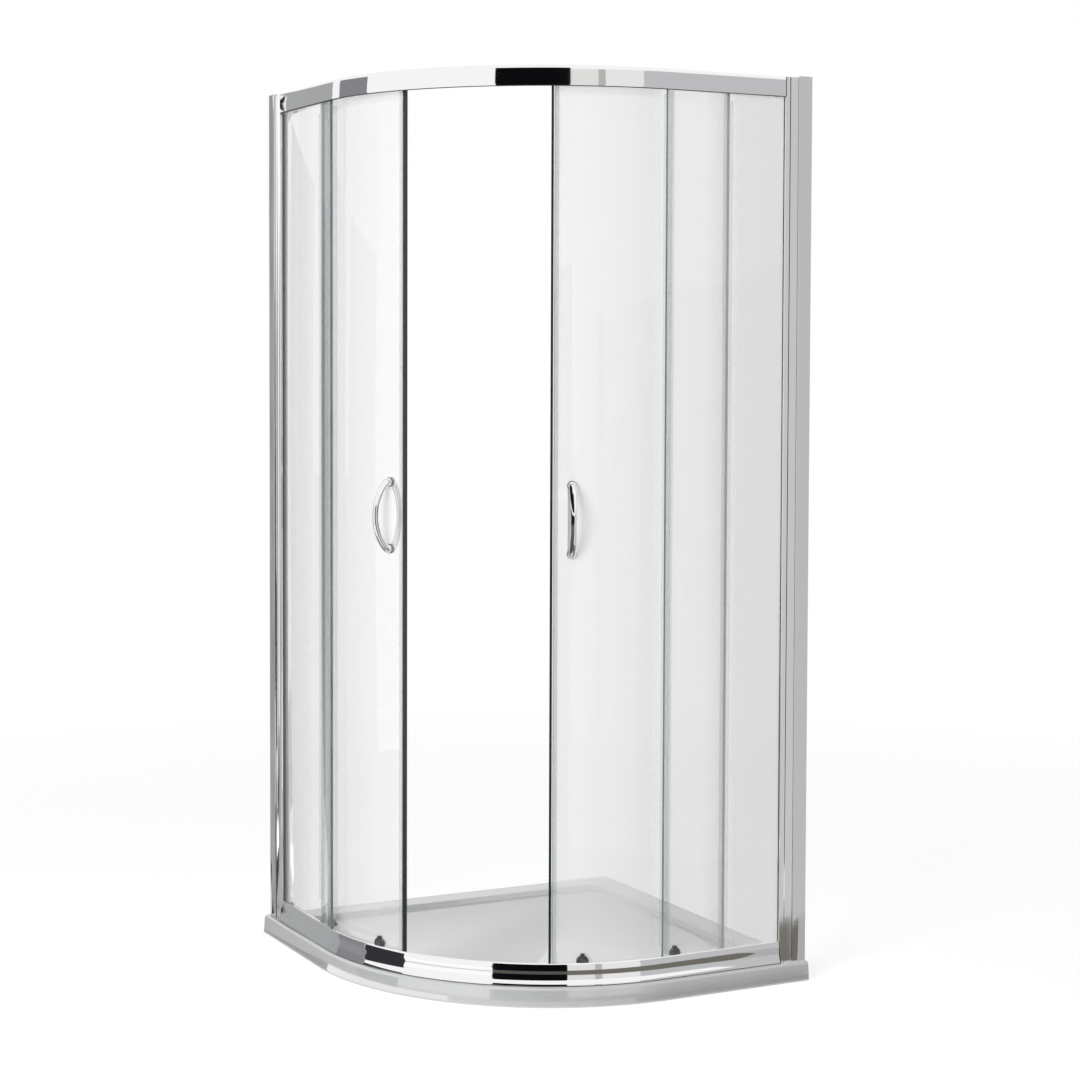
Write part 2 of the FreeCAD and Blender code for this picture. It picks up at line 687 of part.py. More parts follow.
def fixed_seal():
    """A clear clip on the pane's free edge, whose fin wipes the outside of the door."""
    grip = size.FixedEdge + size.FixedSealGrip
    edge = size.FixedEdge - size.SealWall
    front = glass_front - size.SealWall
    rear = glass_rear + size.SealWall
    fin = flat(size.FinTip)
    body = prism("free_edge_seal", [
        (edge, front), (grip, front), (grip, glass_front), (size.FixedEdge, glass_front),
        (size.FixedEdge, glass_rear), (grip, glass_rear), (grip, rear), (edge, rear),
    ], size.TrayHeight + 47, rail_foot - 0.5)
    add_prism(body, "free_edge_fin",
              [(edge, rear), (edge + 1.2, rear), (edge + 2.4, fin), (edge + 1.4, fin)],
              size.NotchFoot, size.NotchHead)
    both_sides(body, "fixed_seal")


def door_buffers():
    """Rubber stops on the top track, just past the trailing wheels of fully open doors."""
    ledge = rail_foot + 2 + size.RailWall
    start = size.BufferStart
    stop = start + size.BufferLength
    block = box("buffer_block", (start, flat(515.6), ledge), (stop, flat(505), ledge + 10))
    slot = box("buffer_slot", (start - 1, flat(509), ledge - 1),
               (stop + 1, flat(508), size.TopAxle - size.GrooveRadius - 0.3))
    stop = cut("buffer", block, [slot])
    keep(group("buffers", [stop, mirrored(stop, "buffer_other_side")]), "door_buffers")


# ---------------------------------------------------------------------------------------------
# Doors. A door is drawn in its own frame: the arc's centre is the origin, the closing line is
# the X axis, and the door runs round from it. An angle along the door is counted from that line.
# ---------------------------------------------------------------------------------------------

def turn(degrees):
    return Placement(Vector(), Rotation(Vector(0, 0, 1), degrees))


def door_place():
    """From the door's own frame to its place at rest, part of the way open."""
    centre = arc_centre.value + size.DoorInset.value
    closed = Placement(Vector(centre, centre, 0), Rotation(Vector(0, 0, 1), 225))
    pivot = Placement(Vector(size.HingeAcross.value, size.HingeAlong.value, 0), Rotation())
    return pivot * turn(size.ShownOpening.value) * pivot.inverse() * closed


DOOR = door_place()
mid_radius = size.DoorGlass + size.GlassThickness / 2


def on_door(angle, radius=0, height=0):
    """A place on the door: its X points out through the glass."""
    return turn(angle) * Placement(Vector(radius, 0, height), Rotation())


def along(radius, length):
    """A point of the door's plan, at this radius and this far along the door."""
    angle = as_size(length) / mid_radius * (180 / math.pi)
    return as_size(radius) * cosine(angle), as_size(radius) * sine(angle)


def round_corner(radius, length, forward=None):
    """A corner of an outline on the door's plan. Forward says that an arc arrives there."""
    u, v = along(radius, length)
    if forward is None:
        return u, v
    return u, v, (-as_size(radius) if forward else as_size(radius))


def both_doors(obj, stem, suffix=""):
    keep(obj, f"{stem}_right{suffix}")
    keep(mirrored(obj, f"{stem}_left{suffix}"), f"{stem}_left{suffix}")


ROLLERS = {"lead": size.LeadAngle, "trail": size.TrailAngle}
magnet_inner = size.ClosingGap + size.MagnetWidth
glass_start = magnet_inner + 2.2
glass_stop = size.DoorLength - 6


def door_glass():
    inner = size.DoorGlass
    pane = prism("door_pane", [
        round_corner(inner, glass_start, False), round_corner(glass_outer, glass_start),
        round_corner(glass_outer, glass_stop, True), round_corner(inner, glass_stop),
    ], size.DoorFoot, size.DoorHead)
    holes = []
    for name, angle in ROLLERS.items():
        for height in (size.TopAxle, size.HousingHeight):
            holes.append(rod(f"glass_hole_{name}", size.GlassHole, 20,
                             turn(angle.value) * Placement(
                                 Vector(inner.value - 7, 0, height.value), ALONG_X)))
    for side in (-0.5, 0.5):
        height = size.HandleHeight + size.HandleSpan * side
        holes.append(rod("glass_hole_handle", size.HandleHole, 20, turn(size.HandleAngle.value) * Placement(
            Vector(inner.value - 7, 0, height.value), ALONG_X)))
    glass = place_at(cut("glass", pane, holes), DOOR)
    both_doors(glass, "door_glass")


def magnet_seal():
    """A clear clip on the closing edge, with the magnet strip on its face."""
    inner = size.DoorGlass
    low = inner - size.SealWall
    high = glass_outer + size.SealWall
    grip = glass_start + size.SealGrip
    seal = prism("closing_seal", [
        round_corner(low, magnet_inner, False), round_corner(high, magnet_inner),
        round_corner(high, grip, True), round_corner(glass_outer, grip),
        round_corner(glass_outer, glass_start, False), round_corner(inner, glass_start),
        round_corner(inner, grip, True), round_corner(low, grip),
    ], size.DoorFoot, size.DoorHead)
    both_doors(place_at(seal, DOOR), "magnet_seal")
    strip = prism("closing_magnet", rectangle(inner - 0.5, size.ClosingGap, glass_outer + 0.4,
                                              magnet_inner - 0.06), size.DoorFoot, size.DoorHead)
    both_doors(place_at(strip, DOOR), "magnet_strip")


def trailing_seal():
    inner = size.DoorGlass
    low = inner - size.SealWall
    high = glass_outer + size.SealWall
    grip = glass_stop - size.TrailSealGrip
    back = glass_stop + 1.2
    body = prism("trailing_clip", [
        round_corner(low, grip, False), round_corner(inner, grip),
        round_corner(inner, glass_stop, True), round_corner(glass_outer, glass_stop),
        round_corner(glass_outer, grip, False), round_corner(high, grip),
        round_corner(high, back, True), round_corner(low, back),
    ], size.DoorFoot, size.DoorHead)
    add_prism(body, "trailing_fin", [
        along(glass_outer - 1, back), along(glass_outer + 4.2, size.DoorLength),
        along(glass_outer + 5, size.DoorLength - 0.9), along(high, back - 1)],
        size.NotchFoot, size.NotchHead)
    both_doors(place_at(body, DOOR), "trailing_seal")


# Top rollers: a grooved wheel on a bolt through the glass, running on the rib of the top rail.

wheel_inner = size.TrackRadius - size.WheelWidth / 2
wheel_outer = size.TrackRadius + size.WheelWidth / 2


def wheel(name, angle, height):
    """A grooved nylon wheel whose axis points out through the glass."""
    middle = size.WheelWidth / 2
    groove = middle - size.WheelFlange
    body = turned(name, [
        (-middle, size.WheelBore), (-middle, size.WheelRadius), (-groove, size.WheelRadius),
        (-groove, size.GrooveRadius), (groove, size.GrooveRadius), (groove, size.WheelRadius),
        (middle, size.WheelRadius), (middle, size.GrooveRadius - 1.3),
        (middle - 1.6, size.GrooveRadius - 1.3), (middle - 1.6, size.WheelBore),
    ])
    return place_at(body, DOOR * on_door(angle.value, size.TrackRadius.value, height.value))


def top_rollers():
    bolts = []
    for name, angle in ROLLERS.items():
        both_doors(wheel(f"upper_wheel_{name}", angle, size.TopAxle), "top_wheel", f"_{name}")
        place = DOOR * on_door(angle.value, 0, size.TopAxle.value)
        back = size.DoorGlass - 0.07
        bolts.append(place_at(turned(f"top_bolt_{name}", [
            (back - 5, 0), (back - 5, 6), (back - 4, 7.5), (back - 1, 7.5), (back - 1, size.AxleRadius),
            (wheel_outer - 0.25, size.AxleRadius), (wheel_outer - 0.25, 0)]), place))
        bolts.append(place_at(turned(f"top_washer_{name}", [
            (back - 1, size.AxleRadius), (back - 1, 8), (back, 8), (back, size.AxleRadius)]), place))
        bolts.append(place_at(turned(f"top_spacer_{name}", [
            (glass_outer, size.AxleRadius), (glass_outer, 6), (wheel_inner - 0.35, 5),
            (wheel_inner - 0.35, size.AxleRadius)]), place))
        bolts.append(place_at(turned(f"top_clip_{name}", [
            (wheel_outer - 1.3, size.AxleRadius), (wheel_outer - 1.3, 4.6),
            (wheel_outer - 0.3, 4.6), (wheel_outer - 0.3, size.AxleRadius)]), place))
    both_doors(group("top_bolts", bolts), "top_roller_bolts")


# Bottom rollers: a housing on the outside of the glass holds a sprung carrier. Its wheel hooks up
# under the rib of the bottom rail. Pressing the button lowers the wheel and frees the door.

def bottom_housing(name, angle):
    """A round housing with a level foot, a guide slot at its back and a pocket for the button."""
    low = size.HousingHeight - size.HousingFoot
    disc = rod(f"{name}_disc", size.HousingRadius, size.HousingDepth - 0.05,
               Placement(Vector(0.05, 0, size.HousingHeight.value), ALONG_X))
    tools = [
        box(f"{name}_foot", (-1, -20, low - 20), (20, 20, low)),
        box(f"{name}_guide", (-1, -6.8, low - 20), (2.5, 6.8, low + 20)),
        box(f"{name}_pocket", (2, -4.3, size.HousingHeight + 3.5), (7.4, 4.3, low + 20)),
        rod(f"{name}_tapping", 2.5, 6, Placement(Vector(0, 0, size.HousingHeight.value), ALONG_X)),
    ]
    return place_at(cut(name, disc, tools), DOOR * on_door(angle.value, glass_outer.value))


def carrier(name, angle):
    """The sliding plate with its button on top and the wheel's axle below."""
    button_foot = size.HousingHeight + size.ButtonFoot
    plate = box(f"{name}_plate", (0.4, -6.4, size.BottomAxle - 6.5), (2.1, 6.4, button_foot))
    slot = box(f"{name}_slot", (0, -3, size.HousingHeight - 3), (3, 3, size.HousingHeight + 7))
    button = box(f"{name}_button", (0.4, -4, button_foot), (7, 4, button_foot + size.ButtonHeight))
    axle = rod(f"{name}_axle", size.AxleRadius, wheel_outer - glass_outer - 0.3 - 2,
               Placement(Vector(2, 0, size.BottomAxle.value), ALONG_X))
    end = wheel_outer - glass_outer
    snap = rod(f"{name}_snap", 4.6, 1, Placement(
        Vector(end.value - 1.3, 0, size.BottomAxle.value), ALONG_X))
    solid = fuse(f"{name}_solid", [plate, button, axle, snap])
    return place_at(cut(name, solid, [slot]), DOOR * on_door(angle.value, glass_outer.value))


def release_spring(name, angle):
    """A small compression spring between the housing and the button."""
    wire = 0.25
    foot = size.HousingHeight.value + 3.5 + wire + 0.05
    height = 7 - 2 * wire - 0.4
    pitch = height / 5
    coil = Part.makeHelix(pitch, height, 1.7)
    ring = Part.Wire([Part.makeCircle(wire, Vector(1.7, 0, 0), Vector(0, 1, 0))])
    spring = doc.addObject("Part::Feature", name)
    spring.Shape = Part.Wire(coil).makePipeShell([ring], True, True)
    offset = Placement(Vector(4.7, 0, foot), Rotation())
    spring.Placement = DOOR * on_door(angle.value, glass_outer.value) * offset
    return spring


def bottom_rollers():
    bolts = []
    for name, angle in ROLLERS.items():
        suffix = f"_{name}"
        both_doors(bottom_housing(f"housing_{name}", angle), "bottom_housing", suffix)
        both_doors(carrier(f"carrier_{name}", angle), "release_carrier", suffix)
        both_doors(release_spring(f"spring_{name}", angle), "release_spring", suffix)
        both_doors(wheel(f"lower_wheel_{name}", angle, size.BottomAxle), "bottom_wheel", suffix)
        back = size.DoorGlass - 0.07
        bolts.append(place_at(turned(f"bottom_bolt_{name}", [
            (back - 4, 0), (back - 4, 5.5), (back - 3, 7), (back, 7), (back, 2.5),
            (glass_outer + 6, 2.5), (glass_outer + 6, 0)]),
            DOOR * on_door(angle.value, 0, size.HousingHeight.value)))
    both_doors(group("bottom_bolts", bolts), "bottom_roller_bolts")


# Handles: an arched grip on each face of the glass, clamped together by two bolts.

def handle(name, reach, side):
    """An arched grip on two round feet. Side is 1 outside the glass and -1 inside it."""
    span = size.HandleSpan.value / 2
    foot = size.HandleFoot.value
    stand = size.HandleStand.value
    slim = size.HandleDepth.value
    washer = size.HandleWasher.value
    rise = reach.value - slim - stand
    radius = (span ** 2 + rise ** 2) / (2 * rise)
    sweep = math.asin(span / radius)
    sections = []
    for step in range(-4, 5):
        share = step / 4
        angle = sweep * share
        width = 6.25 + 2.75 * share ** 2
        depth = slim + 0.8 * share ** 2
        centre = Vector(stand + rise - radius * (1 - math.cos(angle)), 0, radius * math.sin(angle))
        outward = Vector(math.cos(angle), 0, math.sin(angle))
        ring = Part.Ellipse(Vector(), max(width, depth), min(width, depth)).toShape()
        long_axis = Vector(0, 1, 0) if width >= depth else outward
        short_axis = outward if width >= depth else Vector(0, 1, 0)
        ring.Placement = Placement(centre, Rotation(long_axis, short_axis, Vector(), "XYZ"))
        sections.append(Part.Wire([ring]))
    grip = Part.makeLoft(sections, True, False)
    solids = [grip]
    for end in (-span, span):
        solids.append(Part.makeCylinder(foot, stand - washer, Vector(washer, 0, end), Vector(1, 0, 0)))
        solids.append(Part.makeSphere(foot, Vector(stand, 0, end)))
    shape = solids[0].multiFuse(solids[1:])
    keep_side = Part.makeBox(100, 100, 400, Vector(washer, -50, -200))
    shape = shape.common(keep_side)
    for end in (-span, span):
        shape = shape.cut(Part.makeCylinder(3, 9, Vector(0, 0, end), Vector(1, 0, 0)))
    obj = doc.addObject("Part::Feature", name)
    obj.Shape = shape.removeSplitter()
    start = glass_outer.value if side > 0 else size.DoorGlass.value - 0.1
    facing = Rotation() if side > 0 else Rotation(Vector(0, 0, 1), 180)
    obj.Placement = DOOR * on_door(size.HandleAngle.value, start, size.HandleHeight.value) \
        * Placement(Vector(), facing)
    return obj


def handles():
    both_doors(handle("outer_grip", size.OuterReach, 1), "handle_outer")
    both_doors(handle("inner_grip", size.InnerReach, -1), "handle_inner")
    fixings = []
    for end in (-0.5, 0.5):
        height = size.HandleHeight + size.HandleSpan * end
        place = DOOR * on_door(size.HandleAngle.value, 0, height.value)
        inner = size.DoorGlass - 0.1
        fixings.append(place_at(turned("handle_bolt", [
            (inner - 9, 0), (inner - 9, 3), (glass_outer + 9, 3), (glass_outer + 9, 0)]), place))
        for start in (inner - size.HandleWasher, glass_outer):
            end_face = start + size.HandleWasher
            fixings.append(place_at(turned("handle_washer", [
                (start, 3), (start, 10), (end_face, 10), (end_face, 3)]), place))
    both_doors(group("handle_fixing_set", fixings), "handle_bolts")


# ---------------------------------------------------------------------------------------------
# Build, check and write
# ---------------------------------------------------------------------------------------------

shower_tray()
top_rail()
bottom_rail()
wall_channel()
channel_cap()
frame_post()
rail_end_blocks()
frame_screws()
fixed_glass()
glazing_gasket()
fixed_seal()
door_buffers()
door_glass()
magnet_seal()
trailing_seal()
top_rollers()
bottom_rollers()
handles()

doc.recompute()

for obj in doc.Objects:
    if "Invalid" in obj.State or "Error" in obj.State:
        raise RuntimeError(f"{obj.Name} failed: {obj.State}")
for piece in pieces:
    shape = piece.Shape
    if shape.isNull() or not shape.isValid():
        raise RuntimeError(f"{piece.Label} has no valid shape")

os.makedirs("parts", exist_ok=True)
for piece in pieces:
    piece.Shape.exportStep(f"parts/{piece.Label}.step")
    print(piece.Label, len(piece.Shape.Solids), round(piece.Shape.Volume))
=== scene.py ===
# %% [markdown]
# # A quadrant shower enclosure, dressed in Blender
#
# The engineered model already holds every part at its true size: a low stone-resin tray, two
# chrome rails bent to a quarter circle, wall frames, two flat panes and two curved sliding doors.
# This lesson gives those parts the look that they have in a bright photo studio. Some parts keep
# their engineered mesh and only get a finish. The parts that the eye rests on are modelled again
# with softer edges and smoother curves.

import json
import math

import bmesh
import bpy
from mathutils import Matrix, Vector

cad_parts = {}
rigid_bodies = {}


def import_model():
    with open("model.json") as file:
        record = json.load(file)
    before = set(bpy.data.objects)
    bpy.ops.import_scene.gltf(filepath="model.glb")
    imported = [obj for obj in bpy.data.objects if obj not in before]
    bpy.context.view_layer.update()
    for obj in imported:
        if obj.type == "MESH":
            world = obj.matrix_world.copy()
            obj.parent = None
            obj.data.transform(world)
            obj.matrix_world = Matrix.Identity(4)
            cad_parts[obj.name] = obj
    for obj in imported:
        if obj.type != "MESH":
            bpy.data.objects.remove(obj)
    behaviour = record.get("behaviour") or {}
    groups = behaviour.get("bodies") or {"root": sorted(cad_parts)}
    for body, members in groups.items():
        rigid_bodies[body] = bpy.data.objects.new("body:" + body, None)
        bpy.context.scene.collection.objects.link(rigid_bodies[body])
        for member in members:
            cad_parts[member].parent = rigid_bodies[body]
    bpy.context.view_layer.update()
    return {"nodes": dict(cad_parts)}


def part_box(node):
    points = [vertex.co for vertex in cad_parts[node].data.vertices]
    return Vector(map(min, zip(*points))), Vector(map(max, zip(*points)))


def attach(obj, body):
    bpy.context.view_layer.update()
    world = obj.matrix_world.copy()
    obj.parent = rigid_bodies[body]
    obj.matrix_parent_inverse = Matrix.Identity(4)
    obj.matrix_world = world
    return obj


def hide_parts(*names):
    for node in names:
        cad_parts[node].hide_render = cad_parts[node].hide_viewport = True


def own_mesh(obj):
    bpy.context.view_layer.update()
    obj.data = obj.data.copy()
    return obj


for leftover in list(bpy.data.objects):
    bpy.data.objects.remove(leftover)
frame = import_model()
nodes = frame["nodes"]

# %% [markdown]
# ## The camera
#
# The photograph was taken from the front left, a little above the handles, with a long lens. The
# numbers come from matching the tray's corners and the rails' ends. A camera looks along its own
# -Z, so the three columns of its matrix are right, up and backwards.

# %% Camera
turn_left = -0.4701
tip_down = 0.045
roll = 0.0033
forward = Vector((-math.sin(turn_left) * math.cos(tip_down),
                  math.cos(turn_left) * math.cos(tip_down), -math.sin(tip_down)))
level_right = forward.cross(Vector((0, 0, 1))).normalized()
level_up = level_right.cross(forward)
right = level_right * math.cos(roll) + level_up * math.sin(roll)
up = level_up * math.cos(roll) - level_right * math.sin(roll)

lens = bpy.data.cameras.new("studio_camera")
lens.lens = 76.74
lens.shift_x = 0.0093
lens.shift_y = -0.0741
camera = bpy.data.objects.new("studio_camera", lens)
bpy.context.scene.collection.objects.link(camera)
camera.matrix_world = Matrix((right, up, -forward)).transposed().to_4x4()
camera.location = (-2.2875, -4.5142, 1.3292)
bpy.context.scene.camera = camera
bpy.context.scene.view_settings.view_transform = "Standard"

# %% [markdown]
# ## Small helpers for node trees
#
# Almost every finish below is a Principled shader with a few nodes in front of it. A few helpers
# keep that short: one starts a material, one makes a noise that can be stretched along an axis,
# others map a pattern to the range or the two tones that a socket needs, and one does sums.

# %% Helpers for materials
def start_material(name, roughness, colour):
    material = bpy.data.materials.new(name)
    material.use_nodes = True
    material.diffuse_color = (*colour, 1)
    shader = material.node_tree.nodes["Principled BSDF"]
    shader.inputs["Base Color"].default_value = (*colour, 1)
    shader.inputs["Roughness"].default_value = roughness
    return material, material.node_tree, shader


def noise(tree, scale, stretch=(1, 1, 1), detail=3.0):
    where = tree.nodes.new("ShaderNodeTexCoord")
    mapping = tree.nodes.new("ShaderNodeMapping")
    mapping.inputs["Scale"].default_value = stretch
    pattern = tree.nodes.new("ShaderNodeTexNoise")
    pattern.inputs["Scale"].default_value = scale
    pattern.inputs["Detail"].default_value = detail
    tree.links.new(where.outputs["Object"], mapping.inputs["Vector"])
    tree.links.new(mapping.outputs["Vector"], pattern.inputs["Vector"])
    return pattern.outputs["Fac"]


def spread(tree, pattern, low, high, from_low=0.35, from_high=0.65):
    remap = tree.nodes.new("ShaderNodeMapRange")
    remap.inputs["From Min"].default_value = from_low
    remap.inputs["From Max"].default_value = from_high
    remap.inputs["To Min"].default_value = low
    remap.inputs["To Max"].default_value = high
    tree.links.new(pattern, remap.inputs["Value"])
    return remap.outputs["Result"]


def two_tones(tree, pattern, dark, light, from_low=0.35, from_high=0.65):
    ramp = tree.nodes.new("ShaderNodeValToRGB")
    ramp.color_ramp.elements[0].position = from_low
    ramp.color_ramp.elements[0].color = (*dark, 1)
    ramp.color_ramp.elements[1].position = from_high
    ramp.color_ramp.elements[1].color = (*light, 1)
    tree.links.new(pattern, ramp.inputs["Fac"])
    return ramp.outputs["Color"]


def bumps(tree, shader, pattern, strength, distance):
    bump = tree.nodes.new("ShaderNodeBump")
    bump.inputs["Strength"].default_value = strength
    bump.inputs["Distance"].default_value = distance
    tree.links.new(pattern, bump.inputs["Height"])
    tree.links.new(bump.outputs["Normal"], shader.inputs["Normal"])


def maths(tree, operation, *values):
    """A Math node. Each value is either another node's output or a plain number."""
    node = tree.nodes.new("ShaderNodeMath")
    node.operation = operation
    for socket, value in zip(node.inputs, values):
        if isinstance(value, (int, float)):
            socket.default_value = value
        else:
            tree.links.new(value, socket)
    return node.outputs["Value"]


# %% [markdown]
# ## The studio
#
# The enclosure stands on a white floor in front of white paper. The world is plain white to the
# eye, to mirrors and to glass, and much dimmer where it lights matt surfaces, so that the white
# tray keeps its tone. The floor is pale paper near the tray, where it takes the soft shadow, and
# fades into plain white further out. A broad lamp at the front left is the main soft box, and a
# weak one overhead lights the inside of the tray.

# %% World
WORLD_LIGHT = 0.245
world = bpy.data.worlds.new("white_studio")
world.use_nodes = True
bpy.context.scene.world = world
tree = world.node_tree
tree.nodes.clear()
rays = tree.nodes.new("ShaderNodeLightPath")
seen = maths(tree, "MAXIMUM", rays.outputs["Is Camera Ray"], rays.outputs["Is Glossy Ray"])
seen_or_glass = maths(tree, "MAXIMUM", seen, rays.outputs["Is Transmission Ray"])
dim = tree.nodes.new("ShaderNodeBackground")
dim.inputs["Color"].default_value = (0.97, 0.985, 1, 1)
dim.inputs["Strength"].default_value = WORLD_LIGHT
white = tree.nodes.new("ShaderNodeBackground")
white.inputs["Color"].default_value = (1, 1, 1, 1)
white.inputs["Strength"].default_value = 1
blend = tree.nodes.new("ShaderNodeMixShader")
sky = tree.nodes.new("ShaderNodeOutputWorld")
tree.links.new(seen_or_glass, blend.inputs["Fac"])
tree.links.new(dim.outputs["Background"], blend.inputs[1])
tree.links.new(white.outputs["Background"], blend.inputs[2])
tree.links.new(blend.outputs["Shader"], sky.inputs["Surface"])

# %% Floor
SHADE_ENDS = (1.2, 3.6)
bpy.ops.object.select_all(action="DESELECT")
bpy.ops.mesh.primitive_plane_add(size=60, location=(0, 0, -0.001))
floor = bpy.context.active_object
floor.name = "floor"
material, tree, shader = start_material("white_floor", 0.9, (0.5, 0.5, 0.5))
where = tree.nodes.new("ShaderNodeTexCoord")
distance = tree.nodes.new("ShaderNodeVectorMath")
distance.operation = "LENGTH"
tree.links.new(where.outputs["Object"], distance.inputs[0])
fade = spread(tree, distance.outputs["Value"], 0.76, 1.0, *SHADE_ENDS)
paper = spread(tree, distance.outputs["Value"], 0.46, 0.0, *SHADE_ENDS)
rays = tree.nodes.new("ShaderNodeLightPath")
seen = maths(tree, "MAXIMUM", rays.outputs["Is Camera Ray"], rays.outputs["Is Glossy Ray"])
tree.links.new(paper, shader.inputs["Base Color"])
tree.links.new(maths(tree, "MULTIPLY", seen, fade), shader.inputs["Emission Strength"])
shader.inputs["Emission Color"].default_value = (1, 1, 1, 1)
shader.inputs["Specular IOR Level"].default_value = 0
floor.data.materials.append(material)

# %% Lamps
def soft_box(name, place, aim, width, height, watts):
    lamp = bpy.data.lights.new(name, "AREA")
    lamp.shape = "RECTANGLE"
    lamp.size = width
    lamp.size_y = height
    lamp.energy = watts
    box = bpy.data.objects.new(name, lamp)
    bpy.context.scene.collection.objects.link(box)
    box.location = place
    box.rotation_euler = (Vector(aim) - Vector(place)).to_track_quat("-Z", "Y").to_euler()
    box.visible_camera = False
    box.visible_glossy = False


soft_box("main_soft_box", (-4.6, -3.4, 1.9), (0, 0, 0.8), 2.4, 3.4, 280)
soft_box("top_soft_box", (0.3, 0.2, 5.2), (0, 0, 0), 3.0, 3.0, 27)

# %% [markdown]
# ## What the chrome sees
#
# Chrome has no colour of its own: it shows the room. The tall black band on both rails is the
# dark room behind the camera, and the grey and plum parts are large cards. The bottom rail also
# mirrors strips of the studio floor and, at its foot, the rim of the tray. Each card here is
# unrolled along the mirrored lines of sight of one stretch of the front, first over the floor and
# then up a wall. They show only in reflections.

# %% Mirrored lines of sight
CENTRE = 0.1
CURVE_CENTRE = Vector((CENTRE, CENTRE))
FACE_RADIUS = 0.532


def front_point(station):
    """A point of the rail's face and the way it faces. From 180 to 270 the station is the angle
    round the curve, below 180 it runs back along the left side, above 270 along the right."""
    if station < 180:
        return Vector((CURVE_CENTRE.x - FACE_RADIUS, CURVE_CENTRE.y + (180 - station) * 0.01)), \
            Vector((-1, 0))
    if station > 270:
        return Vector((CURVE_CENTRE.x + (station - 270) * 0.01, CURVE_CENTRE.y - FACE_RADIUS)), \
            Vector((0, -1))
    facing = Vector((math.cos(math.radians(station)), math.sin(math.radians(station))))
    return CURVE_CENTRE + FACE_RADIUS * facing, facing


def mirrored_sight(station, sideways=0.0):
    point, facing = front_point(station)
    sight = (point - camera.location.to_2d()).normalized()
    away = sight - 2 * sight.dot(facing) * facing
    away.rotate(Matrix.Rotation(math.radians(sideways), 2))
    return point, away


# %% Reflection cards
def start_glow(name):
    """A finish that only gives off light: it has no colour and no gloss of its own."""
    material, tree, shader = start_material(name, 1.0, (0, 0, 0))
    shader.inputs["Specular IOR Level"].default_value = 0
    shader.inputs["Emission Strength"].default_value = 1
    return material, tree, shader


def show_only_in_mirrors(card):
    for ray in ("visible_camera", "visible_diffuse", "visible_shadow", "visible_transmission"):
        setattr(card, ray, False)


def reflection_card(name, first, last, brightness, near=0.03, far=20.0, head=5.6,
                    spare=(0, 0), lie=0.002):
    """Covers what the stations first to last mirror: the floor from near to far, at the height
    lie, and then a wall up to head. spare turns the two ends sideways, in degrees."""
    columns = 24
    rows = [(near, lie), (far, lie)] + ([(far, head)] if head else [])
    bpy.ops.object.select_all(action="DESELECT")
    bpy.ops.mesh.primitive_grid_add(x_subdivisions=columns, y_subdivisions=len(rows) - 1, size=1)
    card = bpy.context.active_object
    card.name = name
    for vert in card.data.vertices:
        share = vert.co.x + 0.5
        distance, height = rows[round((vert.co.y + 0.5) * (len(rows) - 1))]
        sideways = spare[0] * (1 - share) + spare[1] * share
        point, away = mirrored_sight(first + (last - first) * share, sideways)
        vert.co = (*(point + distance * away), height)
    material, tree, shader = start_glow(name)
    shader.inputs["Emission Color"].default_value = (*brightness, 1)
    card.data.materials.append(material)
    show_only_in_mirrors(card)
    print(name, "covers stations", first, "to", last)


reflection_card("black_room", 231, 247.5, (0.004, 0.004, 0.005), near=0.4, head=7)
reflection_card("grey_side", 90, 183, (0.40, 0.405, 0.41), spare=(-35, 0))
reflection_card("plum_card", 186.5, 197.5, (0.25, 0.245, 0.26), near=0.2)
reflection_card("warm_wall", 247.5, 253.6, (0.80, 0.79, 0.775), near=0.55)
reflection_card("stand", 253.6, 255.2, (0.50, 0.485, 0.47), near=0.55)
reflection_card("warm_corner", 255.2, 263.9, (0.86, 0.85, 0.84), near=0.55)
reflection_card("pale_side", 264, 360, (0.55, 0.55, 0.56), near=0.55, spare=(0, 35))
reflection_card("grey_start", 182.5, 187, (0.38, 0.385, 0.39), far=2, head=1)
reflection_card("floor_start", 187, 197.5, (0.30, 0.295, 0.30), near=0.12, far=0.9, head=0)
reflection_card("floor_edge", 197.5, 209.5, (0.035, 0.035, 0.04), near=0.12, far=0.9, head=0.2)
reflection_card("floor_left", 209.5, 231, (0.70, 0.69, 0.68), far=0.3, head=0)
reflection_card("floor_dark", 231, 247.5, (0.10, 0.095, 0.085), far=0.4, head=0)
reflection_card("floor_right", 247.5, 302, (0.17, 0.16, 0.14), far=0.55, head=0)
reflection_card("grey_floor", 302, 360, (0.45, 0.45, 0.45), far=0.55, head=0, spare=(0, 35))
reflection_card("tray_left", 90, 186.5, (0.02, 0.02, 0.02), near=0.02, far=0.13, head=0,
                spare=(-35, 0), lie=0.004)
reflection_card("tray_glow", 186.5, 222, (1.7, 1.7, 1.7), near=0.02, far=0.13, head=0,
                lie=0.004)
reflection_card("tray_middle", 222, 262, (0.6, 0.6, 0.6), near=0.02, far=0.13, head=0,
                lie=0.004)
reflection_card("tray_right", 262, 360, (0.02, 0.02, 0.02), near=0.02, far=0.13, head=0,
                spare=(0, 35), lie=0.004)

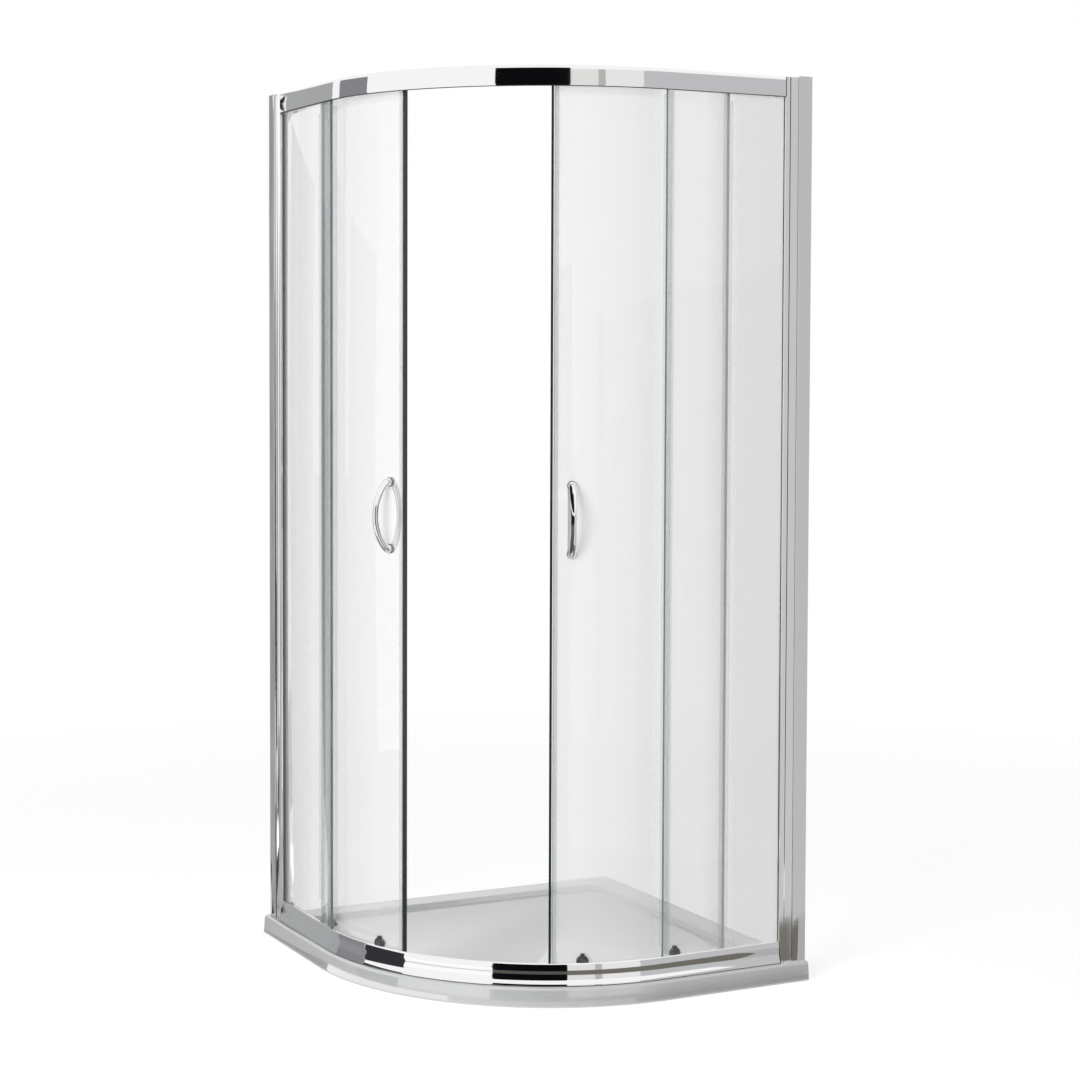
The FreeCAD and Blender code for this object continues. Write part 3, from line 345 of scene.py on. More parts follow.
# %% Dark card that the right handle sees
# The handle is so small that it gets a card of its own: part of a ball round it, grey below,
# black above, with one bright band that breaks up the black.
HANDLE_HEIGHT = 0.995
HANDLE_PLACE = Vector((-0.10, -0.41, HANDLE_HEIGHT))
BALL_RADIUS = 0.13
BEARINGS = (110, 262)
HEIGHTS = (-80, 80)
BANDS = [(0.0, 0.08), (0.40, 0.14), (0.44, 0.01), (0.58, 0.01), (0.60, 1.0), (0.64, 1.0),
         (0.66, 0.01), (1.0, 0.01)]
bpy.ops.object.select_all(action="DESELECT")
bpy.ops.mesh.primitive_grid_add(x_subdivisions=24, y_subdivisions=24, size=1)
dark_card = bpy.context.active_object
dark_card.name = "dark_card"
for vert in dark_card.data.vertices:
    bearing = math.radians(BEARINGS[0] + (BEARINGS[1] - BEARINGS[0]) * (vert.co.x + 0.5))
    height = math.radians(HEIGHTS[0] + (HEIGHTS[1] - HEIGHTS[0]) * (vert.co.y + 0.5))
    vert.co = HANDLE_PLACE + BALL_RADIUS * Vector((
        math.cos(bearing) * math.cos(height), math.sin(bearing) * math.cos(height),
        math.sin(height)))
material, tree, shader = start_glow("dark_card")
where = tree.nodes.new("ShaderNodeUVMap")
where.uv_map = dark_card.data.uv_layers[0].name
halves = tree.nodes.new("ShaderNodeSeparateXYZ")
bands = tree.nodes.new("ShaderNodeValToRGB")
while len(bands.color_ramp.elements) < len(BANDS):
    bands.color_ramp.elements.new(0.5)
for element, (place, tone) in zip(bands.color_ramp.elements, BANDS):
    element.position = place
    element.color = (tone, tone, tone, 1)
tree.links.new(where.outputs["UV"], halves.inputs["Vector"])
tree.links.new(halves.outputs["Y"], bands.inputs["Fac"])
tree.links.new(bands.outputs["Color"], shader.inputs["Emission Color"])
dark_card.data.materials.append(material)
show_only_in_mirrors(dark_card)

# %% [markdown]
# ## Chrome
#
# Bright-dip aluminium and plated handles mirror sharply, but not perfectly. A faint waviness
# from the extrusion bends the reflections a little, and the polish varies very slightly. The
# posts are a shade brighter than the wall channels. A thin strip under each rail's outer foot
# is painted dull and dark: painted shade for the dark line along the top rail's underside and
# for the dark contact line where the bottom rail meets the tray.

# %% Chrome finishes
def chrome(name, colour, rough_low, rough_high, wave, stretch=(1, 1, 1)):
    material, tree, shader = start_material(name, rough_low, colour)
    shader.inputs["Metallic"].default_value = 1
    polish = noise(tree, 9, stretch, 4)
    tree.links.new(spread(tree, polish, rough_low, rough_high), shader.inputs["Roughness"])
    if wave:
        bumps(tree, shader, noise(tree, 5, stretch, 1), wave, 0.001)
    return material


polished_rail = chrome("polished_rail", (0.90, 0.905, 0.91), 0.02, 0.05, 0.10)
polished_post = chrome("polished_post", (0.87, 0.875, 0.88), 0.04, 0.10, 0.12, (6, 6, 0.6))
bright_post = chrome("bright_post", (0.98, 0.985, 0.99), 0.04, 0.10, 0.12, (6, 6, 0.6))
plated_handle = chrome("plated_handle", (0.90, 0.90, 0.90), 0.015, 0.03, 0)
plated_cap = chrome("plated_cap", (0.88, 0.88, 0.89), 0.05, 0.12, 0)
bright_steel = chrome("bright_steel", (0.72, 0.71, 0.70), 0.18, 0.32, 0)
spring_steel = chrome("spring_steel", (0.55, 0.55, 0.56), 0.25, 0.35, 0)
# Painted shade: a dull dark finish for the strip under each rail's outer foot, where a shadow line
# falls.
painted_shadow_line = chrome("painted_shadow_line", (0.12, 0.12, 0.125), 0.45, 0.6, 0)

# %% [markdown]
# ## Glass
#
# Six millimetres of clear toughened glass hardly bends the view, so each face lets the view
# straight through instead of refracting it. Three things make it read as glass: it mirrors more
# towards a glancing angle, it carries a faint pale haze from the soft boxes, and its ground edge
# is a dull grey green. The haze thins out where a door stands behind its fixed pane, because two
# full hazes would look too grey. The panes cast no shadows, so lamps shine straight through them.

# %% Glass finishes
FACE_ON_MIRROR = 0.035
GLANCING_MIRROR = 0.9


def pane_glass(name, veil_low, veil_high, veil_tone, thinning):
    """The haze is scaled from the first to the second number of thinning, between its third and
    fourth number along X or Y, whichever is larger, in metres."""
    material = bpy.data.materials.new(name)
    material.use_nodes = True
    tree = material.node_tree
    tree.nodes.clear()
    clear = tree.nodes.new("ShaderNodeBsdfTransparent")
    clear.inputs["Color"].default_value = (0.98, 0.982, 0.98, 1)
    haze = tree.nodes.new("ShaderNodeBsdfDiffuse")
    haze.inputs["Color"].default_value = (veil_tone, veil_tone, veil_tone, 1)
    mirror = tree.nodes.new("ShaderNodeBsdfGlossy")
    mirror.inputs["Color"].default_value = (1, 1, 1, 1)
    mirror.inputs["Roughness"].default_value = 0.01
    veil = spread(tree, noise(tree, 1.2, (1, 1, 0.3), 0), veil_low, veil_high)
    where = tree.nodes.new("ShaderNodeTexCoord")
    parts = tree.nodes.new("ShaderNodeSeparateXYZ")
    tree.links.new(where.outputs["Object"], parts.inputs["Vector"])
    along = maths(tree, "MAXIMUM", parts.outputs["X"], parts.outputs["Y"])
    veil = maths(tree, "MULTIPLY", veil, spread(tree, along, *thinning))
    body = tree.nodes.new("ShaderNodeMixShader")
    tree.links.new(veil, body.inputs["Fac"])
    tree.links.new(clear.outputs[0], body.inputs[1])
    tree.links.new(haze.outputs[0], body.inputs[2])
    angle = tree.nodes.new("ShaderNodeLayerWeight")
    angle.inputs["Blend"].default_value = 0.5
    steep = maths(tree, "POWER", angle.outputs["Facing"], 5)
    shine = tree.nodes.new("ShaderNodeMixShader")
    tree.links.new(maths(tree, "MULTIPLY_ADD", steep, GLANCING_MIRROR, FACE_ON_MIRROR),
                   shine.inputs["Fac"])
    tree.links.new(body.outputs[0], shine.inputs[1])
    tree.links.new(mirror.outputs[0], shine.inputs[2])
    output = tree.nodes.new("ShaderNodeOutputMaterial")
    tree.links.new(shine.outputs[0], output.inputs["Surface"])
    return material


door_pane_glass = pane_glass("door_pane_glass", 0.25, 0.29, 0.90, (1, 0.3, 0.08, 0.12))
fixed_pane_glass = pane_glass("fixed_pane_glass", 0.27, 0.31, 0.88, (0.05, 1, 0.20, 0.28))

# %% Ground edge of the glass
glass_edge, tree, shader = start_material("ground_glass_edge", 0.22, (0.11, 0.155, 0.15))
cut = noise(tree, 40, (1, 1, 0.3))
tree.links.new(two_tones(tree, cut, (0.075, 0.11, 0.108), (0.15, 0.205, 0.195)),
               shader.inputs["Base Color"])

# %% [markdown]
# ## Plastics and rubber
#
# The mouldings are black or white with a fine grain, and differ mostly in how glossy they are.
# The seals are clear vinyl that one notices only along their edges.

# %% Plastic and rubber finishes
def moulding(name, dark, light, rough_low, rough_high, scale, bump=0.0, coat=0.0):
    material, tree, shader = start_material(name, rough_low, light)
    grain = noise(tree, scale, (1, 1, 1), 5)
    tree.links.new(two_tones(tree, grain, dark, light), shader.inputs["Base Color"])
    tree.links.new(spread(tree, grain, rough_low, rough_high), shader.inputs["Roughness"])
    shader.inputs["Coat Weight"].default_value = coat
    if bump:
        bumps(tree, shader, noise(tree, scale * 6), bump, 0.0004)
    return material


magnet_black = moulding("magnet_black", (0.012, 0.012, 0.014), (0.02, 0.02, 0.022),
                        0.3, 0.42, 60)
block_black = moulding("block_black", (0.016, 0.016, 0.018), (0.028, 0.028, 0.03),
                       0.35, 0.5, 90, 0.2)
rubber_black = moulding("rubber_black", (0.022, 0.022, 0.024), (0.036, 0.036, 0.038),
                        0.55, 0.7, 70, 0.2)
roller_black = moulding("roller_black", (0.02, 0.02, 0.022), (0.04, 0.04, 0.043),
                        0.12, 0.22, 40, 0, 0.6)
nylon_white = moulding("nylon_white", (0.70, 0.69, 0.66), (0.80, 0.79, 0.76),
                       0.35, 0.5, 80, 0.1)


# %% Clear vinyl of the seals
def clear_vinyl(name, face_on, edge_on, pale, deep):
    """Almost clear seen face on, and a deeper blue grey where one looks along it."""
    material, tree, shader = start_material(name, 0.28, pale)
    slant = tree.nodes.new("ShaderNodeLayerWeight")
    slant.inputs["Blend"].default_value = 0.5
    tree.links.new(two_tones(tree, slant.outputs["Facing"], pale, deep, 0.70, 0.95),
                   shader.inputs["Base Color"])
    tree.links.new(spread(tree, slant.outputs["Facing"], face_on, edge_on, 0.80, 0.97),
                   shader.inputs["Alpha"])
    drawn = noise(tree, 5, (3, 3, 0.25), 3)
    tree.links.new(spread(tree, drawn, 0.2, 0.36), shader.inputs["Roughness"])
    return material


seal_vinyl = clear_vinyl("seal_vinyl", 0.18, 0.93, (0.55, 0.60, 0.63), (0.11, 0.145, 0.17))

# %% [markdown]
# ## The tray's gel coat
#
# The gel coat is white, slightly cloudy, and glossy: a coat with a high IOR mirrors the room
# well before a glancing angle. A very fine orange peel softens what it mirrors.

# %% Tray finish
gel_coat, tree, shader = start_material("tray_gel_coat", 0.12, (0.64, 0.65, 0.645))
clouds = noise(tree, 2.2, (1, 1, 1), 6)
tree.links.new(two_tones(tree, clouds, (0.55, 0.56, 0.556), (0.60, 0.61, 0.606)),
               shader.inputs["Base Color"])
tree.links.new(spread(tree, noise(tree, 14), 0.10, 0.2), shader.inputs["Roughness"])
shader.inputs["Coat Weight"].default_value = 1
shader.inputs["Coat IOR"].default_value = 2.1
shader.inputs["Coat Roughness"].default_value = 0.06
bumps(tree, shader, noise(tree, 120, (1, 1, 1), 2), 0.06, 0.0003)

# %% Finishes for the engineered nodes
FINISHES = {
    "shower_tray": gel_coat, "top_rail": polished_rail, "bottom_rail": polished_rail,
    "wall_channel": polished_post, "channel_cap": plated_cap, "frame_post": polished_post,
    "rail_end_block": block_black, "rail_screws": bright_steel, "adjusting_screws": bright_steel,
    "fixed_glass": fixed_pane_glass, "door_glass": door_pane_glass, "glazing_gasket": rubber_black,
    "fixed_seal": seal_vinyl, "magnet_seal": seal_vinyl, "trailing_seal": seal_vinyl,
    "magnet_strip": magnet_black, "door_buffers": rubber_black, "top_wheel": nylon_white,
    "bottom_wheel": nylon_white, "top_roller_bolts": bright_steel,
    "bottom_roller_bolts": bright_steel, "bottom_housing": roller_black,
    "release_carrier": roller_black, "release_spring": spring_steel, "handle": plated_handle,
    "handle_bolts": rubber_black,
}
for name, node in nodes.items():
    stem = max((stem for stem in FINISHES if name.startswith(stem)), key=len)
    for slot in node.material_slots:
        slot.material = FINISHES[stem]

# %% [markdown]
# ## Helpers for modelling
#
# Pieces are shaped the way one would by hand: add a primitive, go into edit mode, select by
# place, then extrude, inset, bevel or spin. An operator acts on all that is selected, so the
# first helper always clears the selection.

# %% Helpers for modelling
def only(piece):
    bpy.ops.object.select_all(action="DESELECT")
    piece.select_set(True)
    bpy.context.view_layer.objects.active = piece


def pick(piece, kind, test):
    """In edit mode, selects the vertices, edges or faces whose middle passes the test."""
    bpy.ops.mesh.select_all(action="DESELECT")
    bpy.ops.mesh.select_mode(type={"verts": "VERT", "edges": "EDGE", "faces": "FACE"}[kind])
    mesh = bmesh.from_edit_mesh(piece.data)
    count = 0
    for item in getattr(mesh, kind):
        corners = [item.co] if kind == "verts" else [vert.co for vert in item.verts]
        middle = sum(corners, Vector()) / len(corners)
        if test(middle, item):
            item.select_set(True)
            count += 1
    mesh.select_flush_mode()
    bmesh.update_edit_mesh(piece.data)
    return count


def slide(x=0.0, y=0.0, z=0.0):
    bpy.ops.transform.translate(value=(x, y, z))


def extrude(x=0.0, y=0.0, z=0.0):
    bpy.ops.mesh.extrude_region_move(TRANSFORM_OT_translate={"value": (x, y, z)})


def settle(piece, *materials):
    """Closes the edit, points the faces outwards, puts the place in the mesh, adds the finish."""
    if bpy.context.mode == "EDIT_MESH":
        bpy.ops.mesh.select_all(action="SELECT")
        bpy.ops.mesh.remove_doubles(threshold=0.00001)
        bpy.ops.mesh.normals_make_consistent(inside=False)
        bpy.ops.object.mode_set(mode="OBJECT")
    only(piece)
    bpy.ops.object.transform_apply(location=True, rotation=True, scale=True)
    for material in materials:
        piece.data.materials.append(material)


def soften(piece, width, segments=2, angle=30):
    """Rounds every edge sharper than the angle, then shades the rest smooth."""
    only(piece)
    bevel = piece.modifiers.new("soften", "BEVEL")
    bevel.width = width
    bevel.segments = segments
    bevel.limit_method = "ANGLE"
    bevel.angle_limit = math.radians(angle)
    bevel.harden_normals = False
    bpy.ops.object.modifier_apply(modifier=bevel.name)
    bpy.ops.object.shade_smooth_by_angle(angle=math.radians(35))


def stands_for(piece, body, slot, *replaced):
    """Rides the piece on its body and prints how far its box is from the parts it replaces."""
    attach(piece, body)
    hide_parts(*replaced)
    boxes = [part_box(node) for node in replaced]
    low = [min(box[0][axis] for box in boxes) for axis in range(3)]
    high = [max(box[1][axis] for box in boxes) for axis in range(3)]
    own = [[pick_one(vert.co[axis] for vert in piece.data.vertices) for axis in range(3)]
           for pick_one in (min, max)]
    gaps = [round(1000 * (own[0][axis] - low[axis]), 2) for axis in range(3)]
    gaps += [round(1000 * (own[1][axis] - high[axis]), 2) for axis in range(3)]
    open_edges = sum(1 for count in edge_uses(piece) if count != 2)
    print(piece.name, "box against CAD in mm", gaps, "| open edges", open_edges,
          "| faces", len(piece.data.polygons))


def edge_uses(piece):
    uses = dict.fromkeys(range(len(piece.data.edges)), 0)
    edge_of = {edge.key: edge.index for edge in piece.data.edges}
    for face in piece.data.polygons:
        for key in face.edge_keys:
            uses[edge_of[key]] += 1
    return uses.values()


# %% [markdown]
# ## The bent rails
#
# Each rail is one aluminium extrusion, bent to the quadrant. Here a single point is extruded
# along the section, the outline is filled, and the face is pulled along one straight, spun round
# the curve and pulled along the other. 90 steps keep the mirror smooth. The top rail bulges only
# slightly. The bottom rail leans back at its shoulder and flares out at its foot.

# %% Sections of the rails
def bowed(start, end, radius, steps):
    """The points after start on an arc to end. A positive radius bows left of the way."""
    start, end = Vector(start), Vector(end)
    chord = end - start
    left = Vector((-chord.y, chord.x)).normalized()
    reach = math.sqrt(radius ** 2 - (chord.length / 2) ** 2)
    centre = (start + end) / 2 - left * math.copysign(reach, radius)
    spoke = start - centre
    angle = spoke.angle_signed(end - centre)
    points = []
    for step in range(1, steps + 1):
        turned = spoke.copy()
        turned.rotate(Matrix.Rotation(-angle * step / steps, 2))
        points.append(tuple(centre + turned))
    return points


def outlined(name, corners):
    """A new piece, left in edit mode, with one face: a point extruded from corner to corner."""
    bpy.ops.object.select_all(action="DESELECT")
    bpy.ops.mesh.primitive_plane_add(size=0.001, location=corners[0])
    piece = bpy.context.active_object
    piece.name = name
    bpy.ops.object.transform_apply(location=True)
    bpy.ops.object.mode_set(mode="EDIT")
    bpy.ops.mesh.select_mode(type="VERT")
    bpy.ops.mesh.select_all(action="SELECT")
    bpy.ops.mesh.merge(type="CENTER")
    for before, after in zip(corners, corners[1:]):
        extrude(*(after - before))
    bpy.ops.mesh.select_all(action="SELECT")
    bpy.ops.mesh.edge_face_add()
    return piece


STRAIGHT = 0.2855
OUTER_FOOT = 0.526


def rail_piece(name, section, painted_shade_below):
    """Section corners are (distance out from the curve's centre, height), in millimetres. Below
    the height given last, the outer foot gets a dark second finish: painted shade for a thin dark
    line."""
    rail = outlined(name, [Vector((CENTRE + STRAIGHT, CENTRE - out / 1000, height / 1000))
                           for out, height in section])
    extrude(x=-STRAIGHT)
    bpy.ops.mesh.spin(steps=90, angle=math.pi / 2, center=(CENTRE, CENTRE, 0), axis=(0, 0, 1))
    extrude(y=STRAIGHT)
    settle(rail, polished_rail, painted_shadow_line)
    soften(rail, 0.0004)
    # Faces low on the outer foot get the dark second finish, which paints the shadow line there.
    for polygon in rail.data.polygons:
        x, y, z = polygon.center
        out = math.hypot(min(x - CENTRE, 0), min(y - CENTRE, 0))
        if z < painted_shade_below / 1000 and out > OUTER_FOOT:
            polygon.material_index = 1
    return rail


# %% Top rail
face, top, foot = 532, 1916, 1874
top_section = [
    (488, top), (488, top - 6), (489.6, top - 6), (489.6, top - 1.6), (516.1, top - 1.6),
    (516.1, foot + 3.6), (509, foot + 3.6), (509, foot + 7), (508, foot + 7), (508, foot + 3.6),
    (507.4, foot + 3.6), (507.4, foot + 2), (517.3, foot + 2), (517.3, top - 1.6),
    (face - 2.1, top - 1.6), (face - 2.3, foot + 1.6), (525.4, foot + 1.6), (525.4, foot),
    (face - 1.7, foot), (face - 0.85, foot + 0.35), (face - 0.5, foot + 1.2),
    (face - 0.28, foot + 7), (face - 0.09, foot + 14), (face, foot + 21), (face - 0.09, foot + 28),
    (face - 0.28, top - 7), (face - 0.5, top - 1.2), (face - 0.85, top - 0.35), (face - 1.7, top),
]
top_rail = rail_piece("top_rail_bright", top_section, foot + 1.0)
stands_for(top_rail, "enclosure", "rail_chrome", "top_rail")

# %% Bottom rail
foot, head = 40, 86
shoulder = bowed((-(face - 2.5), head - 1), (-face, foot + 28), -60, 8)
flare = bowed((-face, foot + 16), (-(face + 5), foot + 1.6), 400, 3)
bottom_section = [
    (500, foot), (500, foot + 8), (501.6, foot + 8), (501.6, foot + 1.8), (516.1, foot + 1.8),
    (516.1, head - 11), (509, head - 11), (509, 71.5), (508, 71.5), (508, head - 9.5),
    (516.1, head - 9.5), (516.1, head - 8), (517.3, head - 8), (517.3, 62), (523.3, 62),
    (523.3, 60.5), (517.3, 60.5), (517.3, foot + 1.8), (face + 2.6, foot + 1.8),
    (face - 1.6, foot + 16.5), (face - 1.6, foot + 27.5), (face - 4, head - 4),
    (526.2, head - 6), (526.2, 66), (524.8, 66), (524.8, head - 1), (525.1, head - 0.3),
    (525.8, head), (face - 3.5, head), (face - 2.8, head - 0.3), (face - 2.5, head - 1),
    *[(-out, height) for out, height in shoulder], (face, foot + 16),
    *[(-out, height) for out, height in flare], (face + 4.8, foot + 1.1), (face + 2.9, foot + 0.9),
    (face + 2.9, foot),
]
bottom_rail = rail_piece("bottom_rail_bright", bottom_section, foot + 1.15)
stands_for(bottom_rail, "enclosure", "rail_chrome", "bottom_rail")

# %% [markdown]
# ## The tray
#
# The tray is cast resin under a glossy gel coat. A circle gives its curved front, two extruded
# points its straight sides. It leans in slightly towards the top, where the edge is rounded. The
# recess is inset from the rim and its corners are rounded. A cone cuts the shallow dish round the
# waste, and a cylinder the hole.

# %% Outline of the tray
CORNER = 0.55
SIDE = 0.9
TRAY_TOP = 0.04
NEAR_TOP = TRAY_TOP - 0.001
bpy.ops.object.select_all(action="DESELECT")
bpy.ops.mesh.primitive_circle_add(vertices=480, radius=CORNER, location=(CENTRE, CENTRE, 0))
tray = bpy.context.active_object
tray.name = "tray_cast"
bpy.ops.object.transform_apply(location=True)
bpy.ops.object.mode_set(mode="EDIT")
pick(tray, "verts", lambda middle, item: middle.x > 0.1001 or middle.y > 0.1001)
bpy.ops.mesh.delete(type="VERT")
pick(tray, "verts", lambda middle, item: middle.x > 0.0999)
extrude(x=SIDE - CORNER)
extrude(y=SIDE)
extrude(x=-SIDE)
bpy.ops.mesh.select_all(action="SELECT")
bpy.ops.mesh.edge_face_add()
extrude(z=TRAY_TOP)
lean = 0.547 / CORNER
bpy.ops.transform.resize(value=(lean, lean, 1), center_override=(CENTRE, CENTRE, 0))
pick(tray, "verts", lambda middle, item: middle.x > 0.44 and middle.z > 0.03)
slide(x=(SIDE - CORNER) * (1 - lean))
pick(tray, "verts", lambda middle, item: middle.y > 0.44 and middle.z > 0.03)
slide(y=(SIDE - CORNER) * (1 - lean))
pick(tray, "edges",
     lambda middle, item: middle.z > NEAR_TOP and max(middle.x, middle.y) < SIDE / 2 - 0.001)
bpy.ops.mesh.bevel(offset=0.006, segments=5, affect="EDGES")

# %% Recess of the tray
RIM = 0.049
pick(tray, "faces", lambda middle, item: item.calc_area() > 0.5 and middle.z > NEAR_TOP)
bpy.ops.mesh.inset(thickness=RIM)
rim_end = SIDE / 2 - RIM
inner = 0.392
pick(tray, "verts", lambda middle, item:
     0.395 < middle.x < 0.41 and middle.z > NEAR_TOP and middle.y > -0.42)
slide(x=inner - rim_end)
pick(tray, "verts", lambda middle, item:
     0.395 < middle.y < 0.41 and middle.z > NEAR_TOP and middle.x > -0.42)
slide(y=inner - rim_end)
print("recess corners", pick(tray, "verts", lambda middle, item: middle.z > NEAR_TOP and (
    abs(middle.x - inner) < 0.002 and abs(abs(middle.y) - inner) < 0.002
    or abs(middle.y - inner) < 0.002 and abs(middle.x + inner) < 0.002)))
bpy.ops.mesh.bevel(offset=0.03, segments=10, affect="VERTICES")
pick(tray, "faces", lambda middle, item: item.calc_area() > 0.4 and middle.z > NEAR_TOP)
for step_down in (0.001, 0.010, 0.001):
    bpy.ops.mesh.inset(thickness=0.003)
    slide(z=-step_down)
settle(tray, gel_coat)


# %% The dish and the waste hole
def cut_away(piece, tool):
    only(piece)
    cutting = piece.modifiers.new("cut", "BOOLEAN")
    cutting.operation = "DIFFERENCE"
    cutting.solver = "EXACT"
    cutting.object = tool
    bpy.ops.object.modifier_apply(modifier=cutting.name)
    bpy.data.objects.remove(tool)


WASTE = (-0.18284, -0.18284)
WASTE_RADIUS = 0.045
DISH_RADII = (0.057, 0.088)
bpy.ops.object.select_all(action="DESELECT")
bpy.ops.mesh.primitive_cone_add(vertices=96, radius1=DISH_RADII[0], radius2=DISH_RADII[1],
                                depth=0.00401, location=(*WASTE, 0.026005))
cut_away(tray, bpy.context.active_object)
bpy.ops.object.select_all(action="DESELECT")
bpy.ops.mesh.primitive_cylinder_add(vertices=96, radius=WASTE_RADIUS, depth=0.06,
                                    location=(*WASTE, 0.02))
cut_away(tray, bpy.context.active_object)
only(tray)
bpy.ops.object.shade_smooth_by_angle(angle=math.radians(28))
stands_for(tray, "enclosure", "tray_white", "shower_tray")

# %% [markdown]
# ## The panes
#
# A curved door pane is a strip spun round the door's own centre. It is modelled with that centre
# at the origin and the closing line along X, then carried to the open place that it has at rest.
# The left door is the same door mirrored across the enclosure's diagonal.

# %% Where a door stands
def turned_about(x, y, degrees):
    return Matrix.Translation((x, y, 0)) @ Matrix.Rotation(math.radians(degrees), 4, "Z") \
        @ Matrix.Translation((-x, -y, 0))


HINGE = (0.123, 0.118)
OPENED_BY = 17.4
DOOR_CENTRE = (0.102, 0.102, 0)
CLOSING_LINE = 225
DOOR = turned_about(*HINGE, OPENED_BY) @ Matrix.Translation(DOOR_CENTRE) \
    @ Matrix.Rotation(math.radians(CLOSING_LINE), 4, "Z")
ACROSS = Matrix(((0, 1, 0, 0), (1, 0, 0, 0), (0, 0, 1, 0), (0, 0, 0, 1)))


def other_side(piece, name):
    """A mirrored copy with its own mesh, whose faces are turned back to point outwards."""
    twin = piece.copy()
    twin.data = piece.data.copy()
    twin.name = name
    twin.data.transform(ACROSS)
    twin.data.flip_normals()
    bpy.context.scene.collection.objects.link(twin)
    return twin


# %% Door panes
GLASS = 0.006
MIDDLE = 0.4985
OUTER_FACE = MIDDLE + GLASS / 2
start_angle = 0.0075 / MIDDLE
stop_angle = 0.4195 / MIDDLE
bpy.ops.object.select_all(action="DESELECT")
bpy.ops.mesh.primitive_plane_add(size=1, location=(MIDDLE, 0, 0.9785),
                                 rotation=(math.pi / 2, 0, 0))
pane = bpy.context.active_object
pane.name = "door_pane_right"
pane.scale = (GLASS, 1.853, 1)
bpy.ops.object.transform_apply(location=True, rotation=True, scale=True)
pane.data.transform(Matrix.Rotation(start_angle, 4, "Z"))
bpy.ops.object.mode_set(mode="EDIT")
bpy.ops.mesh.select_all(action="SELECT")
bpy.ops.mesh.spin(steps=64, angle=start_angle - stop_angle, center=(0, 0, 0), axis=(0, 0, 1))
settle(pane, door_pane_glass, glass_edge)
soften(pane, 0.0008, 2, 60)


def ground_edges(pane, across):
    """Gives the ground edge finish to every face that doesn't lie in the pane's broad sides.
    across gives the way through the glass at a place."""
    for polygon in pane.data.polygons:
        if abs(polygon.normal.dot(across(polygon.center))) <= 0.97:
            polygon.material_index = 1


ground_edges(pane, lambda place: place.to_2d().to_3d().normalized())
pane.data.transform(DOOR)
pane_left = other_side(pane, "door_pane_left")
for clear_piece in (pane, pane_left):
    clear_piece.visible_shadow = False
stands_for(pane, "door_right", "clear_glass", "door_glass_right")
stands_for(pane_left, "door_left", "clear_glass", "door_glass_left")

# %% Fixed panes
bpy.ops.object.select_all(action="DESELECT")
bpy.ops.mesh.primitive_cube_add(size=1, location=(0.252, -0.421, 0.98525))
sheet = bpy.context.active_object
sheet.name = "fixed_pane_right"
sheet.scale = (0.296, GLASS, 1.8455)
settle(sheet, fixed_pane_glass, glass_edge)
soften(sheet, 0.0008, 2, 60)
ground_edges(sheet, lambda place: Vector((0, 1, 0)))
sheet_left = other_side(sheet, "fixed_pane_left")
for clear_piece in (sheet, sheet_left):
    clear_piece.visible_shadow = False
stands_for(sheet, "enclosure", "clear_glass", "fixed_glass_right")
stands_for(sheet_left, "enclosure", "clear_glass", "fixed_glass_left")

# %% [markdown]
# ## Wall-side profiles
#
# The post and the wall channel are straight extrusions. Their outlines are drawn on the floor and
# pulled up. Small rounded edges catch the thin bright lines that the photo shows along them, and
# weighted normals keep the faces between them flat. The black gasket shows as a narrow bead where
# the pane goes into the post.

# %% Profiles
def upright(name, section, foot, head, finish, edge):
    """Section corners are the right-hand side's x and y, in millimetres."""
    profile = outlined(name, [Vector((x / 1000, y / 1000, foot / 1000)) for x, y in section])
    extrude(z=(head - foot) / 1000)
    settle(profile, finish)
    soften(profile, edge)
    even = profile.modifiers.new("even", "WEIGHTED_NORMAL")
    even.keep_sharp = True
    bpy.ops.object.modifier_apply(modifier=even.name)
    return profile


def screw_hole(x, y, z, radius):
    """A short cylinder along X that cuts a wall screw's hole, in millimetres."""
    bpy.ops.object.select_all(action="DESELECT")
    bpy.ops.mesh.primitive_cylinder_add(vertices=32, radius=radius / 1000, depth=0.008,
                                        location=(x / 1000, y / 1000, z / 1000),
                                        rotation=(0, math.pi / 2, 0))
    return bpy.context.active_object


# %% Channels, posts and gaskets
FOOT, HEAD = 40, 1916
channel = upright("wall_channel_polished_right", [
    (450, -404), (417, -404), (417, -405.6), (448.4, -405.6), (448.4, -432.4), (417, -432.4),
    (417, -434), *bowed((417, -434), (450, -434), -170.6, 10)], FOOT, HEAD, polished_post, 0.0005)
for height in (250, 980, 1710):
    cut_away(channel, screw_hole(450, -419, height, 3))
post = upright("frame_post_polished_right", [
    (386.7, -430.2), (396.6, -430.6), (398.2, -432), (440, -432), (440, -406), (438.4, -406),
    (438.4, -430.4), (405.6, -430.4), (405.6, -407.6), (437.4, -407.6), (437.4, -406), (404, -406),
    (404, -413), (391, -413), (391, -416.4), (392.6, -416.4), (392.6, -414.6), (402.4, -414.6),
    (402.4, -427.4), (388.3, -427.4), (388.3, -425.6), (386.7, -425.6)],
    FOOT, HEAD, bright_post, 0.0004)
gasket = upright("gasket_bead_right", [
    (385.8, -424), (385.9, -425), (386.5, -425.6), (388.3, -425.6), (388.3, -427.4),
    (402.4, -427.4), (402.4, -414.6), (392.6, -414.6), (392.6, -416.4), (390.8, -416.4),
    (390.1, -417), (390, -418), (400, -418), (400, -424)], 86.5, 1873.5, rubber_black, 0.0002)
bpy.ops.object.select_all(action="DESELECT")
bpy.ops.mesh.primitive_cube_add(size=1, location=(0.24575, -0.4247, 1.87485))
wedge = bpy.context.active_object
wedge.scale = (0.2785, 0.0014, 0.0013)
settle(wedge, rubber_black)
only(gasket)
wedge.select_set(True)
bpy.ops.object.join()
for piece, slot, node in ((channel, "profile_chrome", "wall_channel"),
                          (post, "profile_chrome", "frame_post"),
                          (gasket, "gasket_rubber", "glazing_gasket")):
    twin = other_side(piece, piece.name.replace("right", "left"))
    stands_for(piece, "enclosure", slot, f"{node}_right")
    stands_for(twin, "enclosure", slot, f"{node}_left")

